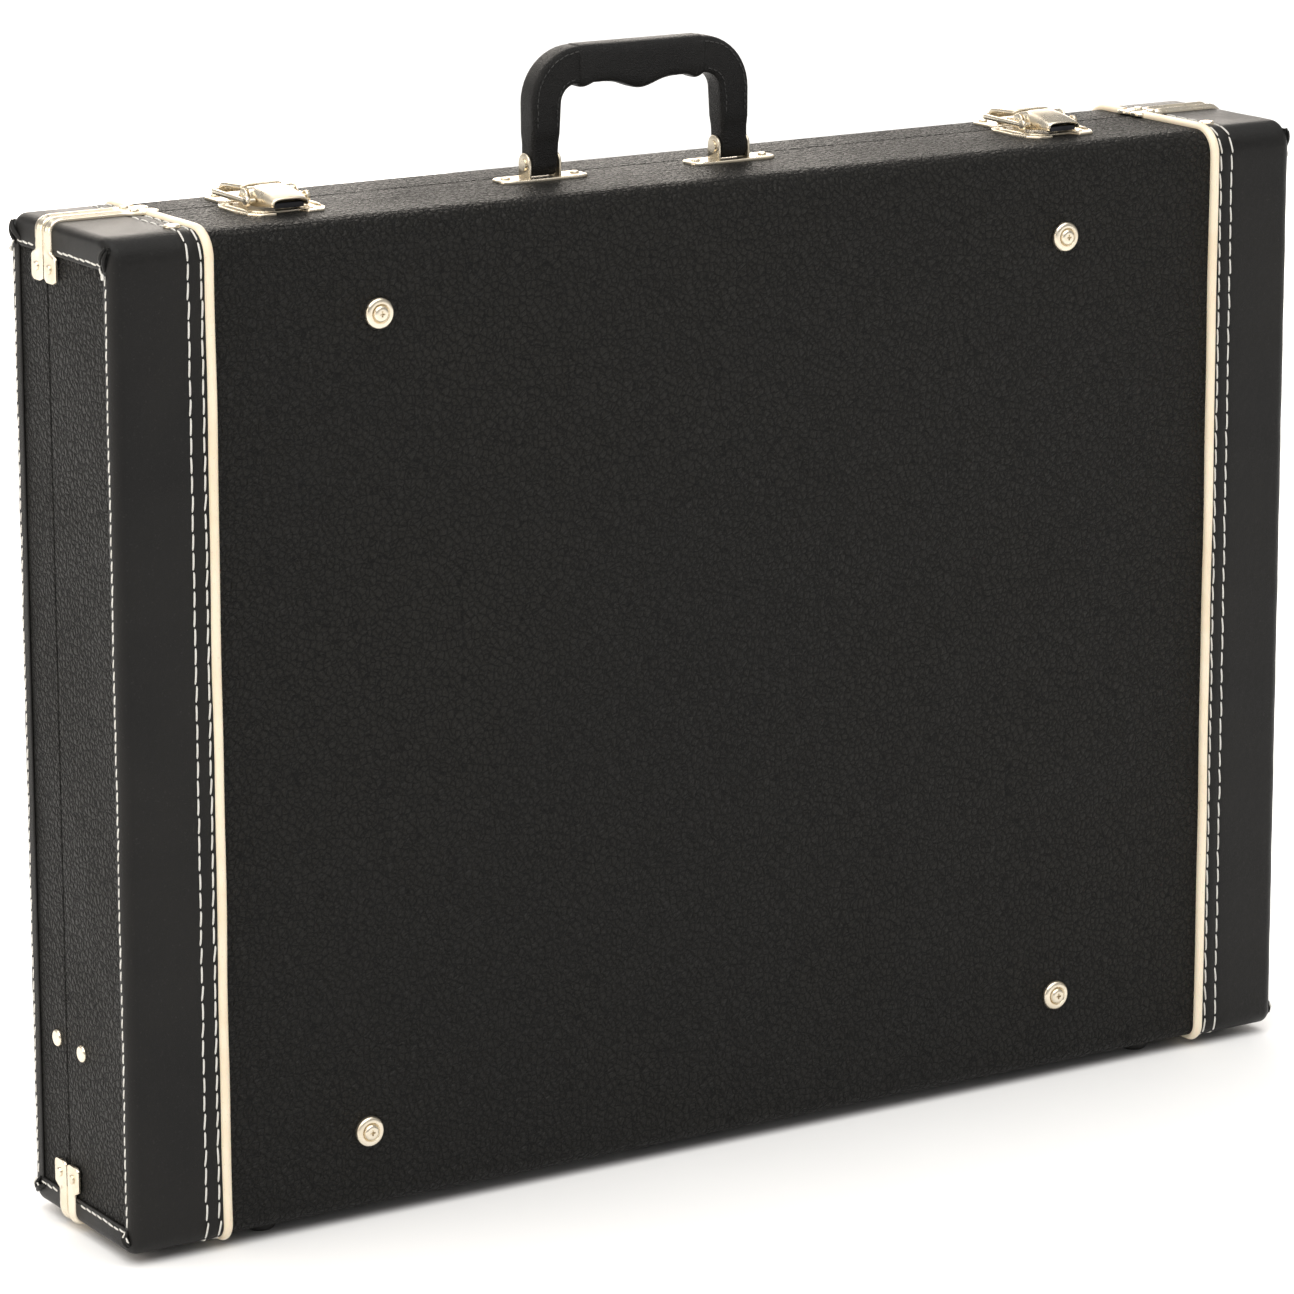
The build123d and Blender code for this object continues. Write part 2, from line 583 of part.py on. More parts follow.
def latch_link(name):
    """Bail: two side bars pivoting on the lever, a cover plate between them and a turned-down hook."""
    joint_y, joint_z = LATCH_LINK_PIVOT
    made = None
    for sign in SIDES.values():
        bar = box((sign * LINK_INNER, joint_y, 3.6), (sign * LINK_OUTER, 12.0, 6.0))
        start = sign * LINK_INNER if sign > 0 else sign * LINK_OUTER
        eye = turned_about_x(start, joint_y, joint_z) * extrude(Circle(2.4), LINK_OUTER - LINK_INNER)
        stub_start = sign * (LEVER_HALF - LEVER_WALL)
        stub_from = stub_start if sign > 0 else -LINK_INNER
        stub = turned_about_x(stub_from, joint_y, joint_z) * extrude(
            Circle(LATCH_STUB), LINK_INNER - abs(stub_start))
        piece = bar + eye + stub
        made = piece if made is None else made + piece
    back = box((-LINK_OUTER, 8.0, 4.0), (LINK_OUTER, 12.0, 7.4))
    back = fillet(back.edges().filter_by(Axis.X).sort_by(Axis.Z)[-2:], 1.2)
    plate = box((-10.5, -9.0, 7.0), (10.5, 9.5, 8.2))
    web = box((-10.5, 8.0, 6.5), (10.5, 9.8, 8.2))
    hook = box((-8.0, 10.6, 3.1), (8.0, 12.0, 5.0))
    return latch_origin(name) * (made + back + plate + web + hook)


def latch_catch(name):
    """Catch plate on the lid, with a low raised lip and clipped back corners."""
    right = [(13.5, 1.0), (15.0, 6.0), (15.0, 20.0), (10.0, 27.0)]
    left = [(-x, y) for x, y in reversed(right)]
    plate = extrude(make_face(Polyline(*right, *left, close=True)), LATCH_PLATE)
    lip = box((-8.5, 7.6, LATCH_PLATE - 0.5), (8.5, 9.2, 2.6))
    lip = fillet(lip.edges().filter_by(Axis.X).sort_by(Axis.Z)[-2:], 0.6)
    return latch_origin(name) * (plate + lip)


def handle_plate(post):
    """Base plate with rounded ends and two upright ears that carry the handle's pin."""
    x = HANDLE_X + post * HANDLE_POSTS / 2
    outline = RectangleRounded(HANDLE_PLATE_LENGTH, HANDLE_PLATE_WIDTH, HANDLE_PLATE_CORNER)
    plate = Pos(x, HANDLE_Y, TOP_FACE_Z) * extrude(outline, HANDLE_PLATE)
    for sign in (-1, 1):
        inner = HANDLE_EAR_GAP / 2
        ear = box((x + sign * inner, HANDLE_Y - HANDLE_EAR_HALF, TOP_FACE_Z + 0.4),
                  (x + sign * (inner + HANDLE_EAR), HANDLE_Y + HANDLE_EAR_HALF,
                   HANDLE_PIVOT_Z + HANDLE_EAR_HALF + 0.1))
        ear = fillet(ear.edges().filter_by(Axis.X).sort_by(Axis.Z)[-2:], HANDLE_EAR_HALF - 0.5)
        plate = plate + ear
    return plate - rod((x - 30, HANDLE_Y, HANDLE_PIVOT_Z), (1, 0, 0), HANDLE_PIN, 60)


def handle_pins():
    """Headed pins through the ears and the eyes of the handle's core."""
    made = []
    reach = HANDLE_EAR_GAP / 2 + HANDLE_EAR
    for post in (-1, 1):
        x = HANDLE_X + post * HANDLE_POSTS / 2
        pin = rod((x - reach, HANDLE_Y, HANDLE_PIVOT_Z), (1, 0, 0), HANDLE_PIN, 2 * reach)
        for sign in (-1, 1):
            pin = pin + rod((x + sign * reach, HANDLE_Y, HANDLE_PIVOT_Z), (sign, 0, 0), *HANDLE_PIN_HEAD)
        made.append(pin)
    return made


def handle_frame(outer_half, top_rise, leg_half, beam, corner):
    """Arch outline in the XZ plane: two legs and a beam, square at the feet."""
    low = HANDLE_PIVOT_Z
    high = TOP_FACE_Z + top_rise
    tall = high - low
    outside = Pos(0, tall / 2) * Rectangle(2 * outer_half, tall)
    outside = fillet(outside.vertices().sort_by(Axis.Y)[-2:], corner)
    inside_half = outer_half - 2 * leg_half
    inside_tall = tall - beam
    inside = Pos(0, inside_tall / 2) * Rectangle(2 * inside_half, inside_tall)
    inside = fillet(inside.vertices().sort_by(Axis.Y)[-2:], max(corner - 2 * leg_half, 4.0))
    return outside - inside


def handle_place(outline, depth):
    """An arch outline given its depth and put over the pins."""
    solid = extrude(Plane.XZ * outline, depth / 2, both=True)
    return Pos(HANDLE_X, HANDLE_Y, HANDLE_PIVOT_Z) * solid


def handle_core():
    """Spring-steel strip bent to the handle's arch, with an eye round each pin."""
    half = CORE_STRIP / 2
    strip = handle_frame(HANDLE_POSTS / 2 + half, HANDLE_RISE - BEAM_HEIGHT / 2, half, CORE_STRIP,
                         CORE_CORNER)
    core = handle_place(strip, CORE_DEPTH)
    for post in (-1, 1):
        x = HANDLE_X + post * HANDLE_POSTS / 2
        start = (x - CORE_EYE_WIDTH / 2, HANDLE_Y, HANDLE_PIVOT_Z)
        core = core + rod(start, (1, 0, 0), CORE_EYE, CORE_EYE_WIDTH)
    for post in (-1, 1):
        x = HANDLE_X + post * HANDLE_POSTS / 2
        core = core - rod((x - 9.0, HANDLE_Y, HANDLE_PIVOT_Z), (1, 0, 0), HANDLE_PIN + RUNNING, 18.0)
    return core


def handle_grip():
    """Padded leatherette grip round the core: square posts, a thick beam with a finger swell."""
    arch = handle_frame(HANDLE_POSTS / 2 + POST_WIDTH / 2, HANDLE_RISE, POST_WIDTH / 2, BEAM_HEIGHT,
                        GRIP_CORNER)
    grip = handle_place(arch, GRIP_DEPTH)
    beam_z = TOP_FACE_Z + HANDLE_RISE - BEAM_HEIGHT
    swell = Plane.XZ * Pos(HANDLE_X, beam_z + SWELL_RADIUS - SWELL_DROP) * Circle(SWELL_RADIUS)
    swell = Pos(0, HANDLE_Y, 0) * extrude(swell, GRIP_DEPTH / 2, both=True)
    keep = box((HANDLE_X - SWELL_HALF, -FAR, beam_z - 2 * SWELL_DROP),
               (HANDLE_X + SWELL_HALF, FAR, beam_z + SWELL_DROP))
    grip = grip + (swell & keep)
    for post in (-1, 1):
        x = HANDLE_X + post * HANDLE_POSTS / 2
        foot = rod((x - POST_WIDTH / 2 + 0.6, HANDLE_Y, HANDLE_PIVOT_Z), (1, 0, 0),
                   GRIP_FOOT, POST_WIDTH - 1.2)
        trim = box((x - 12, HANDLE_Y - 12, HANDLE_PIVOT_Z - 1), (x + 12, HANDLE_Y + 12, HANDLE_PIVOT_Z + 12))
        slim = box((x - POST_WIDTH / 2 + 0.6, HANDLE_Y - GRIP_FOOT, HANDLE_PIVOT_Z),
                   (x + POST_WIDTH / 2 - 0.6, HANDLE_Y + GRIP_FOOT, HANDLE_PIVOT_Z + 12))
        grip = grip - (trim - slim) + foot
    for post in (-1, 1):
        x = HANDLE_X + post * HANDLE_POSTS / 2
        grip = grip - rod((x - 10.0, HANDLE_Y, HANDLE_PIVOT_Z), (1, 0, 0), HANDLE_PIN + 0.3, 20.0)
    return grip - handle_core()


def hinge_leaf(middle, half_sign):
    """Leaf on the hinge side, rolled round the pin in every other knuckle."""
    pitch = HINGE_WIDTH / HINGE_KNUCKLES
    long = pitch - KNUCKLE_GAP
    first = 0 if half_sign < 0 else 1
    leaf = box((middle - HINGE_WIDTH / 2, PART_Y + half_sign * 3.0, BOTTOM_FACE_Z - HINGE_LEAF),
               (middle + HINGE_WIDTH / 2, PART_Y + half_sign * 18.0, BOTTOM_FACE_Z))
    leaf = fillet(leaf.edges().filter_by(Axis.Z).sort_by(Axis.Y)[(0 if half_sign < 0 else 2):][:2], 3.0)
    for index in range(first, HINGE_KNUCKLES, 2):
        low = middle - HINGE_WIDTH / 2 + index * pitch + KNUCKLE_GAP / 2
        barrel = rod((low, PART_Y, HINGE_AXIS_Z), (1, 0, 0), HINGE_BARREL, long)
        tongue = box((low, PART_Y, BOTTOM_FACE_Z - HINGE_LEAF),
                     (low + long, PART_Y + half_sign * 3.2, BOTTOM_FACE_Z))
        leaf = leaf + barrel + tongue
    return leaf - rod((middle - 40, PART_Y, HINGE_AXIS_Z), (1, 0, 0), HINGE_PIN + RUNNING, 80)


def hinge_pins():
    """One pin through the knuckles of each hinge."""
    return [rod((middle - HINGE_WIDTH / 2, PART_Y, HINGE_AXIS_Z), (1, 0, 0), HINGE_PIN, HINGE_WIDTH)
            for middle in HINGE_X]


def stay_strip(side, inner_x, start, finish, start_hole, finish_hole):
    """Flat link with round ends and a hole at each."""
    along = Vector(0, finish[0] - start[0], finish[1] - start[1])
    plane = Plane(origin=(side * inner_x, start[0], start[1]), x_dir=along, z_dir=(side, 0, 0))
    length = along.length
    outline = Pos(length / 2, 0) * SlotCenterToCenter(length, STAY_STRIP)
    outline = outline - Circle(start_hole) - Pos(length, 0) * Circle(finish_hole)
    return plane * extrude(outline, STAY_PLATE)


def stay_arm(side):
    """The tray's link of a stay, up against the end wall."""
    return stay_strip(side, STAY_ARM_X, (STAY_TRAY_Y, STAY_TRAY_Z), (STAY_ELBOW_Y, STAY_ELBOW_Z),
                      STAY_SHANK + RUNNING, ELBOW_SHANK)


def stay_link(side):
    """The lid's link of a stay, inside the tray's."""
    return stay_strip(side, STAY_LINK_X, (STAY_ELBOW_Y, STAY_ELBOW_Z), (STAY_LID_Y, STAY_LID_Z),
                      ELBOW_SHANK + RUNNING, STAY_SHANK + 0.5)


def stay_elbow(side):
    """Elbow rivet, fixed in the tray's link and turning in the lid's."""
    start = (side * (STAY_ARM_X + STAY_PLATE), STAY_ELBOW_Y, STAY_ELBOW_Z)
    shank = rod(start, (-side, 0, 0), ELBOW_SHANK, STAY_ARM_X + STAY_PLATE - STAY_LINK_X + 0.2)
    head = rod((side * (STAY_LINK_X - 0.2), STAY_ELBOW_Y, STAY_ELBOW_Z), (-side, 0, 0), 3.8, 1.2)
    return shank + head


def feet(y):
    """Two domed rubber feet on the hinge side."""
    made = []
    for side in SIDES.values():
        foot = rod((side * FOOT_X, y, BOTTOM_FACE_Z), (0, 0, -1), FOOT_RADIUS, BOTTOM_FACE_Z)
        foot = fillet(foot.edges().sort_by(Axis.Z)[0], FOOT_ROUND)
        made.append(foot)
    return made


def rim_strip():
    """Thin wood strip inside the tray's rim that reaches into the lid and closes the joint."""
    inset = INSIDE_INSET + RIM_PACKING
    high = TOP_Z - inset
    half = LENGTH / 2 - inset
    low_y, high_y = PART_Y - RIM_STRIP_DOWN, PART_Y + RIM_STRIP_UP
    packing_y = TRAY_RIM_Y - 0.5
    bar = box((10 - half, low_y, high - RIM_STRIP_THICKNESS), (half - 10, high_y, high))
    made = [bar + box((10 - half, low_y, high), (half - 10, packing_y, high + RIM_PACKING))]
    for side in SIDES.values():
        end = box((side * (half - RIM_END_THICKNESS), low_y, RIM_END_LOW_Z),
                  (side * half, high_y, high - 12))
        made.append(end + box((side * half, low_y, RIM_END_LOW_Z),
                              (side * (half + RIM_PACKING), packing_y, high - 12)))
    return made


def lid_foam_pad():
    """Foam block glued in the lid that holds the pedals down when the case is shut."""
    back = BACK_Y - INSIDE_INSET
    pad = box((-DECK_HALF_X, back - FOAM, DECK_LOW_Z + 2), (DECK_HALF_X, back, DECK_HIGH_Z))
    return fillet(pad.edges().filter_by(Axis.Y), FOAM_CORNER)


# ---- make and write every node ----------------------------------------------------------------
def build():
    """Every node of the pedalboard, by name."""
    nodes = {}
    tray_fasteners = tray_rivets() + cap_rivets() + tray_stay_rivets()
    lid_fasteners = lid_rivets() + lid_stay_rivets()
    bores = screw_holes()

    nodes["tray_shell"] = drilled(tray_layer(WOOD_INSET, LINING_INSET), tray_fasteners + bores)
    nodes["tray_covering"] = drilled(tray_layer(COVER_INSET, WOOD_INSET), tray_fasteners + bores)
    nodes["tray_lining"] = drilled(tray_layer(LINING_INSET, INSIDE_INSET), tray_fasteners + bores)
    nodes["lid_shell"] = drilled(lid_layer(WOOD_INSET, LINING_INSET), lid_fasteners)
    nodes["lid_covering"] = drilled(lid_layer(COVER_INSET, WOOD_INSET), lid_fasteners)
    nodes["lid_lining"] = drilled(lid_layer(LINING_INSET, INSIDE_INSET), lid_fasteners)

    halves = {"tray": (-1, tray_layer(0, COVER_INSET), tray_fasteners,
                       FRONT_Y + BORDER_FRONT, PART_Y + 5),
              "lid": (1, lid_layer(0, COVER_INSET), lid_fasteners,
                      PART_Y - 5, BACK_Y - BORDER_BACK)}
    for half, (half_sign, layer, fasteners, low_y, high_y) in halves.items():
        for name, side in SIDES.items():
            cord = piping(side, half_sign)
            cover = half_block(COVER_INSET, *((FRONT_Y, TRAY_RIM_Y) if half == "tray"
                                              else (BACK_Y, LID_RIM_Y)))
            cord = cord - cover
            cap = drilled(end_cap(layer, side, low_y, high_y), fasteners)
            nodes[f"{half}_end_cap_{name}"] = cap - cord
            nodes[f"{half}_piping_{name}"] = drilled(cord, fasteners)
        for name, side, end in clamp_spots():
            nodes[f"{half}_clamp_{name}"] = drilled(corner_clamp(side, end, half_sign), fasteners)

    nodes["tray_rivets"] = Compound(children=tray_rivets())
    nodes["lid_rivets"] = Compound(children=lid_rivets())
    nodes["cap_rivets"] = Compound(children=cap_rivets())
    nodes["tray_stay_rivets"] = Compound(children=tray_stay_rivets())
    nodes["lid_stay_rivets"] = Compound(children=lid_stay_rivets())

    nodes["rim_strip"] = Compound(children=rim_strip())
    nodes["pedal_deck"] = pedal_deck()
    nodes["deck_cover"] = deck_cover()
    nodes["deck_risers"] = Compound(children=deck_risers())
    nodes["deck_screws"] = Compound(children=deck_screws())
    nodes["cup_washers"] = Compound(children=cup_washers())
    nodes["tee_nuts"] = Compound(children=tee_nuts())
    nodes["lid_foam_pad"] = lid_foam_pad()

    for name in SIDES:
        nodes[f"latch_base_{name}"] = drilled(latch_base(name), tray_fasteners)
        nodes[f"latch_lever_{name}"] = latch_lever(name)
        nodes[f"latch_link_{name}"] = latch_link(name)
        nodes[f"latch_catch_{name}"] = drilled(latch_catch(name), lid_fasteners)
    nodes["latch_pins"] = Compound(children=latch_pins())

    for name, post in SIDES.items():
        nodes[f"handle_plate_{name}"] = drilled(handle_plate(post), tray_fasteners)
    nodes["handle_pins"] = Compound(children=handle_pins())
    nodes["handle_core"] = handle_core()
    nodes["handle_grip"] = handle_grip()

    for half, half_sign, fasteners in (("tray", -1, tray_fasteners), ("lid", 1, lid_fasteners)):
        leaves = [drilled(hinge_leaf(middle, half_sign), fasteners) for middle in HINGE_X]
        nodes[f"{half}_hinge_leaves"] = Compound(children=leaves)
    nodes["hinge_pins"] = Compound(children=hinge_pins())

    for name, side in SIDES.items():
        nodes[f"stay_arm_{name}"] = stay_arm(side)
        nodes[f"stay_link_{name}"] = stay_link(side)
        nodes[f"stay_elbow_{name}"] = stay_elbow(side)

    nodes["tray_feet"] = Compound(children=feet(FRONT_Y + TRAY_FOOT_Y))
    nodes["lid_feet"] = Compound(children=feet(BACK_Y - LID_FOOT_Y))
    return nodes


if __name__ == "__main__":
    os.makedirs("parts", exist_ok=True)
    made = build()
    for node, shape in made.items():
        export_step(shape, f"parts/{node}.step")
    print(len(made), "nodes")
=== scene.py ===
from math import cos, pi, radians, sin

import bmesh
import bpy
import numpy as np
from mathutils import Matrix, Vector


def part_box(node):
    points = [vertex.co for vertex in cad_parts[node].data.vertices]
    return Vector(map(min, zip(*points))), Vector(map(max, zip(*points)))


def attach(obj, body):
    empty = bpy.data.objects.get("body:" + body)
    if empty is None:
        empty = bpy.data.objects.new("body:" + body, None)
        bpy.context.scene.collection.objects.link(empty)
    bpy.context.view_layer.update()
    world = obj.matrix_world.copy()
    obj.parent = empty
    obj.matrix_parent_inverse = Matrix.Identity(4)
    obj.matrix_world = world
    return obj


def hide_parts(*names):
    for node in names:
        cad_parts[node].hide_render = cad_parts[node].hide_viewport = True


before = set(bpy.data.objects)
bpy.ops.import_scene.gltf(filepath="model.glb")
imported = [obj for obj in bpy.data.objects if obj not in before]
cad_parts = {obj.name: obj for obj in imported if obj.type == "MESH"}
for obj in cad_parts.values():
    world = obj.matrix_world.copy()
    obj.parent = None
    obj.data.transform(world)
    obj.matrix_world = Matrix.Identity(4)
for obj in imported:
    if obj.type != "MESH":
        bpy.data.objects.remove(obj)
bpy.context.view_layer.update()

# ---- camera, light and floor ---------------------------------------------------------------
# The case stands on a plain pale floor under a very large soft overhead light, with a softbox to its left and
# one behind it, seen from in front of its left end and a little above its middle, with a long lens.
MM = 0.001
CAMERA_PLACE = (-1.4535, -2.2844, 0.9090)
CAMERA_TURN, CAMERA_RISE, CAMERA_ROLL = radians(-32.10), radians(12.21), radians(-0.145)
LENS = 154.6
SHIFT = -0.1159

camera = bpy.data.objects.new("camera", bpy.data.cameras.new("camera"))
bpy.context.scene.collection.objects.link(camera)
level_right = np.array([cos(CAMERA_TURN), sin(CAMERA_TURN), 0.0])
backward = np.array([sin(CAMERA_TURN) * cos(CAMERA_RISE), -cos(CAMERA_TURN) * cos(CAMERA_RISE),
                     sin(CAMERA_RISE)])
level_up = np.cross(backward, level_right)
right = level_right * cos(CAMERA_ROLL) + level_up * sin(CAMERA_ROLL)
upward = level_up * cos(CAMERA_ROLL) - level_right * sin(CAMERA_ROLL)
turned = np.eye(4)
turned[:3] = np.stack([right, upward, backward, CAMERA_PLACE], axis=1)
camera.matrix_world = Matrix(turned.tolist())
camera.data.lens = LENS
camera.data.sensor_width = 36.0
camera.data.shift_y = SHIFT
camera.data.clip_end = 100.0
bpy.context.scene.camera = camera
bpy.context.scene.view_settings.view_transform = "Standard"


def lamp(name, kind, strength, place, aim, spread, colour=(1.0, 1.0, 1.0)):
    """A light at a place, turned so that its own -Z points at its aim."""
    data = bpy.data.lights.new(name, kind)
    data.energy = strength
    data.color = colour
    if kind == "SUN":
        data.angle = spread
    else:
        data.shape = "RECTANGLE"
        data.size, data.size_y = spread
    made = bpy.data.objects.new(name, data)
    bpy.context.scene.collection.objects.link(made)
    away = np.array(place, float) - np.array(aim, float)
    away /= np.linalg.norm(away)
    across = np.cross((0.0, 1.0, 0.01), away)
    across /= np.linalg.norm(across)
    set_to = np.eye(4)
    set_to[:3] = np.stack([across, np.cross(away, across), away, place], axis=1)
    made.matrix_world = Matrix(set_to.tolist())
    return made


lamp("overhead_light", "SUN", 3.3, (-0.5, -0.6, 3.0), (0, 0, 0), radians(80), (1.0, 0.985, 0.96))
lamp("left_softbox", "AREA", 17.0, (-2.4, 0.2, 1.0), (0, 0, 0.3), (1.0, 1.6), (1.0, 0.90, 0.79))
lamp("rear_softbox", "AREA", 62.0, (0.9, 2.6, 1.25), (0, 0, 0.5), (3.0, 2.0), (1.0, 0.92, 0.83))

world = bpy.data.worlds.new("studio")
bpy.context.scene.world = world
world.use_nodes = True
sky = world.node_tree.nodes["Background"]
sky.inputs["Color"].default_value = (1.0, 0.985, 0.965, 1.0)
sky.inputs["Strength"].default_value = 0.42


def feed(socket, value):
    """Wires an output to a socket, or sets the socket to a plain value."""
    if isinstance(value, bpy.types.NodeSocket):
        socket.id_data.links.new(value, socket)
    else:
        socket.default_value = value


def wire(node, **values):
    """Feeds a node's inputs by name, an underscore standing for a space."""
    for key, value in values.items():
        feed(node.inputs[key.replace("_", " ")], value)


def add(near, kind, settings=None, **values):
    """Adds a shader node to the tree of another node or socket, with its settings and inputs."""
    made = near.id_data.nodes.new("ShaderNode" + kind)
    for key, value in (settings or {}).items():
        setattr(made, key, value)
    wire(made, **values)
    return made


def reckon(operation, *values):
    """One step of arithmetic in a shader, on an output and more outputs or numbers."""
    made = add(values[0], "Math", {"operation": operation})
    for socket, value in zip(made.inputs, values):
        feed(socket, value)
    return made.outputs[0]


def between(amount, low, high, start=0.0, finish=1.0):
    """Takes an output from one range to another, smoothly."""
    made = add(amount, "MapRange", {"interpolation_type": "SMOOTHSTEP"}, Value=amount,
               From_Min=start, From_Max=finish, To_Min=low, To_Max=high)
    return made.outputs["Result"]


def mixed(amount, first, second):
    """Mixes two colours, each an output or its red, green and blue."""
    made = add(amount, "Mix", {"data_type": "RGBA"})
    for index, value in ((0, amount), (6, first), (7, second)):
        feed(made.inputs[index], (*value, 1.0) if isinstance(value, tuple) else value)
    return made.outputs[2]


def laid_over(amount, share, base, over):
    """A colour with another over it, by a share of an amount."""
    return mixed(reckon("MULTIPLY", amount, share), base, over)


def noise(vector, scale, detail, **values):
    """Soft random clouds, as a number from 0 to 1."""
    return add(vector, "TexNoise", Vector=vector, Scale=scale, Detail=detail, **values).outputs["Fac"]


def finish(name, **values):
    """A material, its own spot vector and its shader with plain values set."""
    made = bpy.data.materials.new(name)
    made.use_nodes = True
    shader = made.node_tree.nodes["Principled BSDF"]
    wire(shader, **values)
    return made, add(shader, "TexCoord").outputs["Object"], shader


def relief(shader, height, depth):
    """Bump of a real depth in metres."""
    wire(shader, Normal=add(shader, "Bump", Strength=1.0, Distance=depth, Height=height).outputs["Normal"])


def group(name, inputs, outputs):
    """An empty group of shader nodes, in which every socket is a number except the vector."""
    made = bpy.data.node_groups.new(name, "ShaderNodeTree")
    for way, keys in (("INPUT", inputs), ("OUTPUT", outputs)):
        for key in keys:
            kind = "NodeSocketVector" if key == "Vector" else "NodeSocketFloat"
            made.interface.new_socket(name=key, in_out=way, socket_type=kind)
    return made, made.nodes.new("NodeGroupInput").outputs, made.nodes.new("NodeGroupOutput")


def placed(made, vector, size, **values):
    """Puts a node group into a material and gives back its outputs."""
    return add(vector, "Group", {"node_tree": made}, Vector=vector, Size=size, **values).outputs


# Handling marks, used by every finish: broad soft smudges and fine specks of dust.
handling, given, out = group("handling_marks", ("Vector", "Size"), ("Smudge", "Dust"))
broad = noise(given["Vector"], given["Size"], 4.0, Roughness=0.6, Distortion=0.4)
fine = noise(given["Vector"], 900.0, 2.0)
wire(out, Smudge=between(broad, 0.0, 1.0, 0.35, 0.7),
     Dust=between(fine, 0.0, 1.0, 0.62, 0.78))

floor_finish, spot, shader = finish("pale_floor", Base_Color=(0.93, 0.93, 0.93, 1.0), Roughness=0.7)
marks = placed(handling, spot, 1.5)
wire(shader, Roughness=between(marks["Smudge"], 0.62, 0.75))
bpy.ops.mesh.primitive_plane_add(size=60.0)
floor = bpy.context.object
floor.name = "floor"
floor.data.materials.append(floor_finish)

# ---- plywood shells, rim strips, risers and deck ---------------------------------------------
# Two glued plywood trays, a long one and a shallow one, with thin strips inside the deep tray's
# rim that reach into the lid. The pedal deck is a plywood board on four round blocks.
plywood, spot, shader = finish("plywood", Roughness=0.62)
stretched = add(spot, "Mapping", Vector=spot, Scale=(6.0, 60.0, 60.0)).outputs["Vector"]
grain = noise(stretched, 4.0, 6.0, Roughness=0.65, Distortion=0.8)
depth = add(spot, "SeparateXYZ", Vector=spot).outputs["Y"]
plies = reckon("SINE", reckon("MULTIPLY", depth, 2 * pi / 0.0024))
bare = mixed(between(grain, 0.0, 1.0, 0.3, 0.7),
             (0.50, 0.36, 0.21), (0.68, 0.53, 0.35))
darker = mixed(between(plies, 0.0, 0.45, 0.2, 0.9), bare, (0.30, 0.19, 0.10))
marks = placed(handling, spot, 9.0)
wire(shader, Base_Color=laid_over(marks["Smudge"], 0.25, darker, (0.42, 0.31, 0.2)))
wire(shader, Roughness=between(grain, 0.55, 0.75))
relief(shader, grain, 0.0002)


def dress(material, slot, *nodes):
    """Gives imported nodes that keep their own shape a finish."""
    for name in nodes:
        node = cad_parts[name]
        node.data.materials.clear()
        node.data.materials.append(material)


dress(plywood, "plywood", "tray_shell", "lid_shell", "rim_strip", "deck_risers", "pedal_deck")

# ---- grained vinyl coverings -----------------------------------------------------------------
# A sheet of black vinyl with a pebbled leather grain is glued round each plywood tray and turned
# over its rim. A panel of the same vinyl closes each end.
pebbles, given, out = group("pebble_grain", ("Vector", "Size", "Crease"), ("Height", "Crease"))
wander = add(out, "TexNoise", Vector=given["Vector"], Scale=260.0, Detail=2.0)
pushed = add(out, "VectorMath", {"operation": "MULTIPLY_ADD"})
for socket, value in zip(pushed.inputs, (wander.outputs["Color"], (0.0022,) * 3, given["Vector"])):
    feed(socket, value)


def cell_edges(size):
    """Distance to the nearest edge between cells of a size, at the pushed spots."""
    made = add(out, "TexVoronoi", {"feature": "DISTANCE_TO_EDGE"}, Vector=pushed.outputs["Vector"],
               Scale=size)
    return made.outputs["Distance"]


cells = cell_edges(given["Size"])
domes = between(cells, 0.0, 1.0, 0.0, 0.38)
wrinkles = between(cell_edges(reckon("MULTIPLY", given["Size"], 2.3)), 0.0, 0.35, 0.0, 0.3)
swell = noise(given["Vector"], 120.0, 3.0)
height = reckon("MULTIPLY_ADD", swell, 0.8, reckon("ADD", domes, wrinkles))
wire(out, Height=height, Crease=between(cells, 1.0, 0.0, 0.0, given["Crease"]))

grained_vinyl, spot, shader = finish("grained_vinyl", Roughness=0.5, Specular_IOR_Level=0.17)
skin = placed(pebbles, spot, 310.0, Crease=0.14)
marks = placed(handling, spot, 5.0)
body_black = mixed(marks["Smudge"], (0.0085, 0.0081, 0.0070), (0.0125, 0.0118, 0.0100))
# Painted shade: the creases between the pebbles are darkened almost to black, as shade in the grain's low
# lines.
creases_painted_shade = laid_over(skin["Crease"], 0.9, body_black, (0.001, 0.001, 0.001))
dusty = laid_over(marks["Dust"], 0.05, creases_painted_shade, (0.25, 0.24, 0.22))
wire(shader, Base_Color=dusty)
wire(shader, Roughness=reckon("MULTIPLY_ADD", skin["Crease"], 0.2,
                              between(marks["Smudge"], 0.4, 0.5)))
relief(shader, skin["Height"], 0.0011)


def packed_box(name):
    """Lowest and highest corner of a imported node, in millimetres."""
    return [np.array(corner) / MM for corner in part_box(name)]


def points_of(x, y, z):
    """Points from three numbers or arrays, spread over each other."""
    return np.stack(np.broadcast_arrays(x, y, z), axis=-1)


def distances(line):
    """How far along a line each of its points lies."""
    return np.cumsum(np.r_[0, np.linalg.norm(np.diff(line, axis=0), axis=1)])


def spots_at(places, run, line):
    """Points of a line at given places, its own points being at the distances in run."""
    return np.stack([np.interp(places, run, values) for values in line.T], axis=-1)


def unit(ways):
    return ways / np.linalg.norm(ways, axis=-1, keepdims=True)


ALONG_X, ALONG_Y, ALONG_Z = np.eye(3)


def grid_faces(rows, columns, ring=False):
    """Quads of a grid of points numbered row by row; a ring's last column meets its first."""
    row, column = np.meshgrid(np.arange(rows - 1), np.arange(columns if ring else columns - 1), indexing="ij")
    after = (column + 1) % columns
    corners = [row * columns + column, row * columns + after,
               (row + 1) * columns + after, (row + 1) * columns + column]
    return np.stack(corners, axis=-1).reshape(-1, 4)


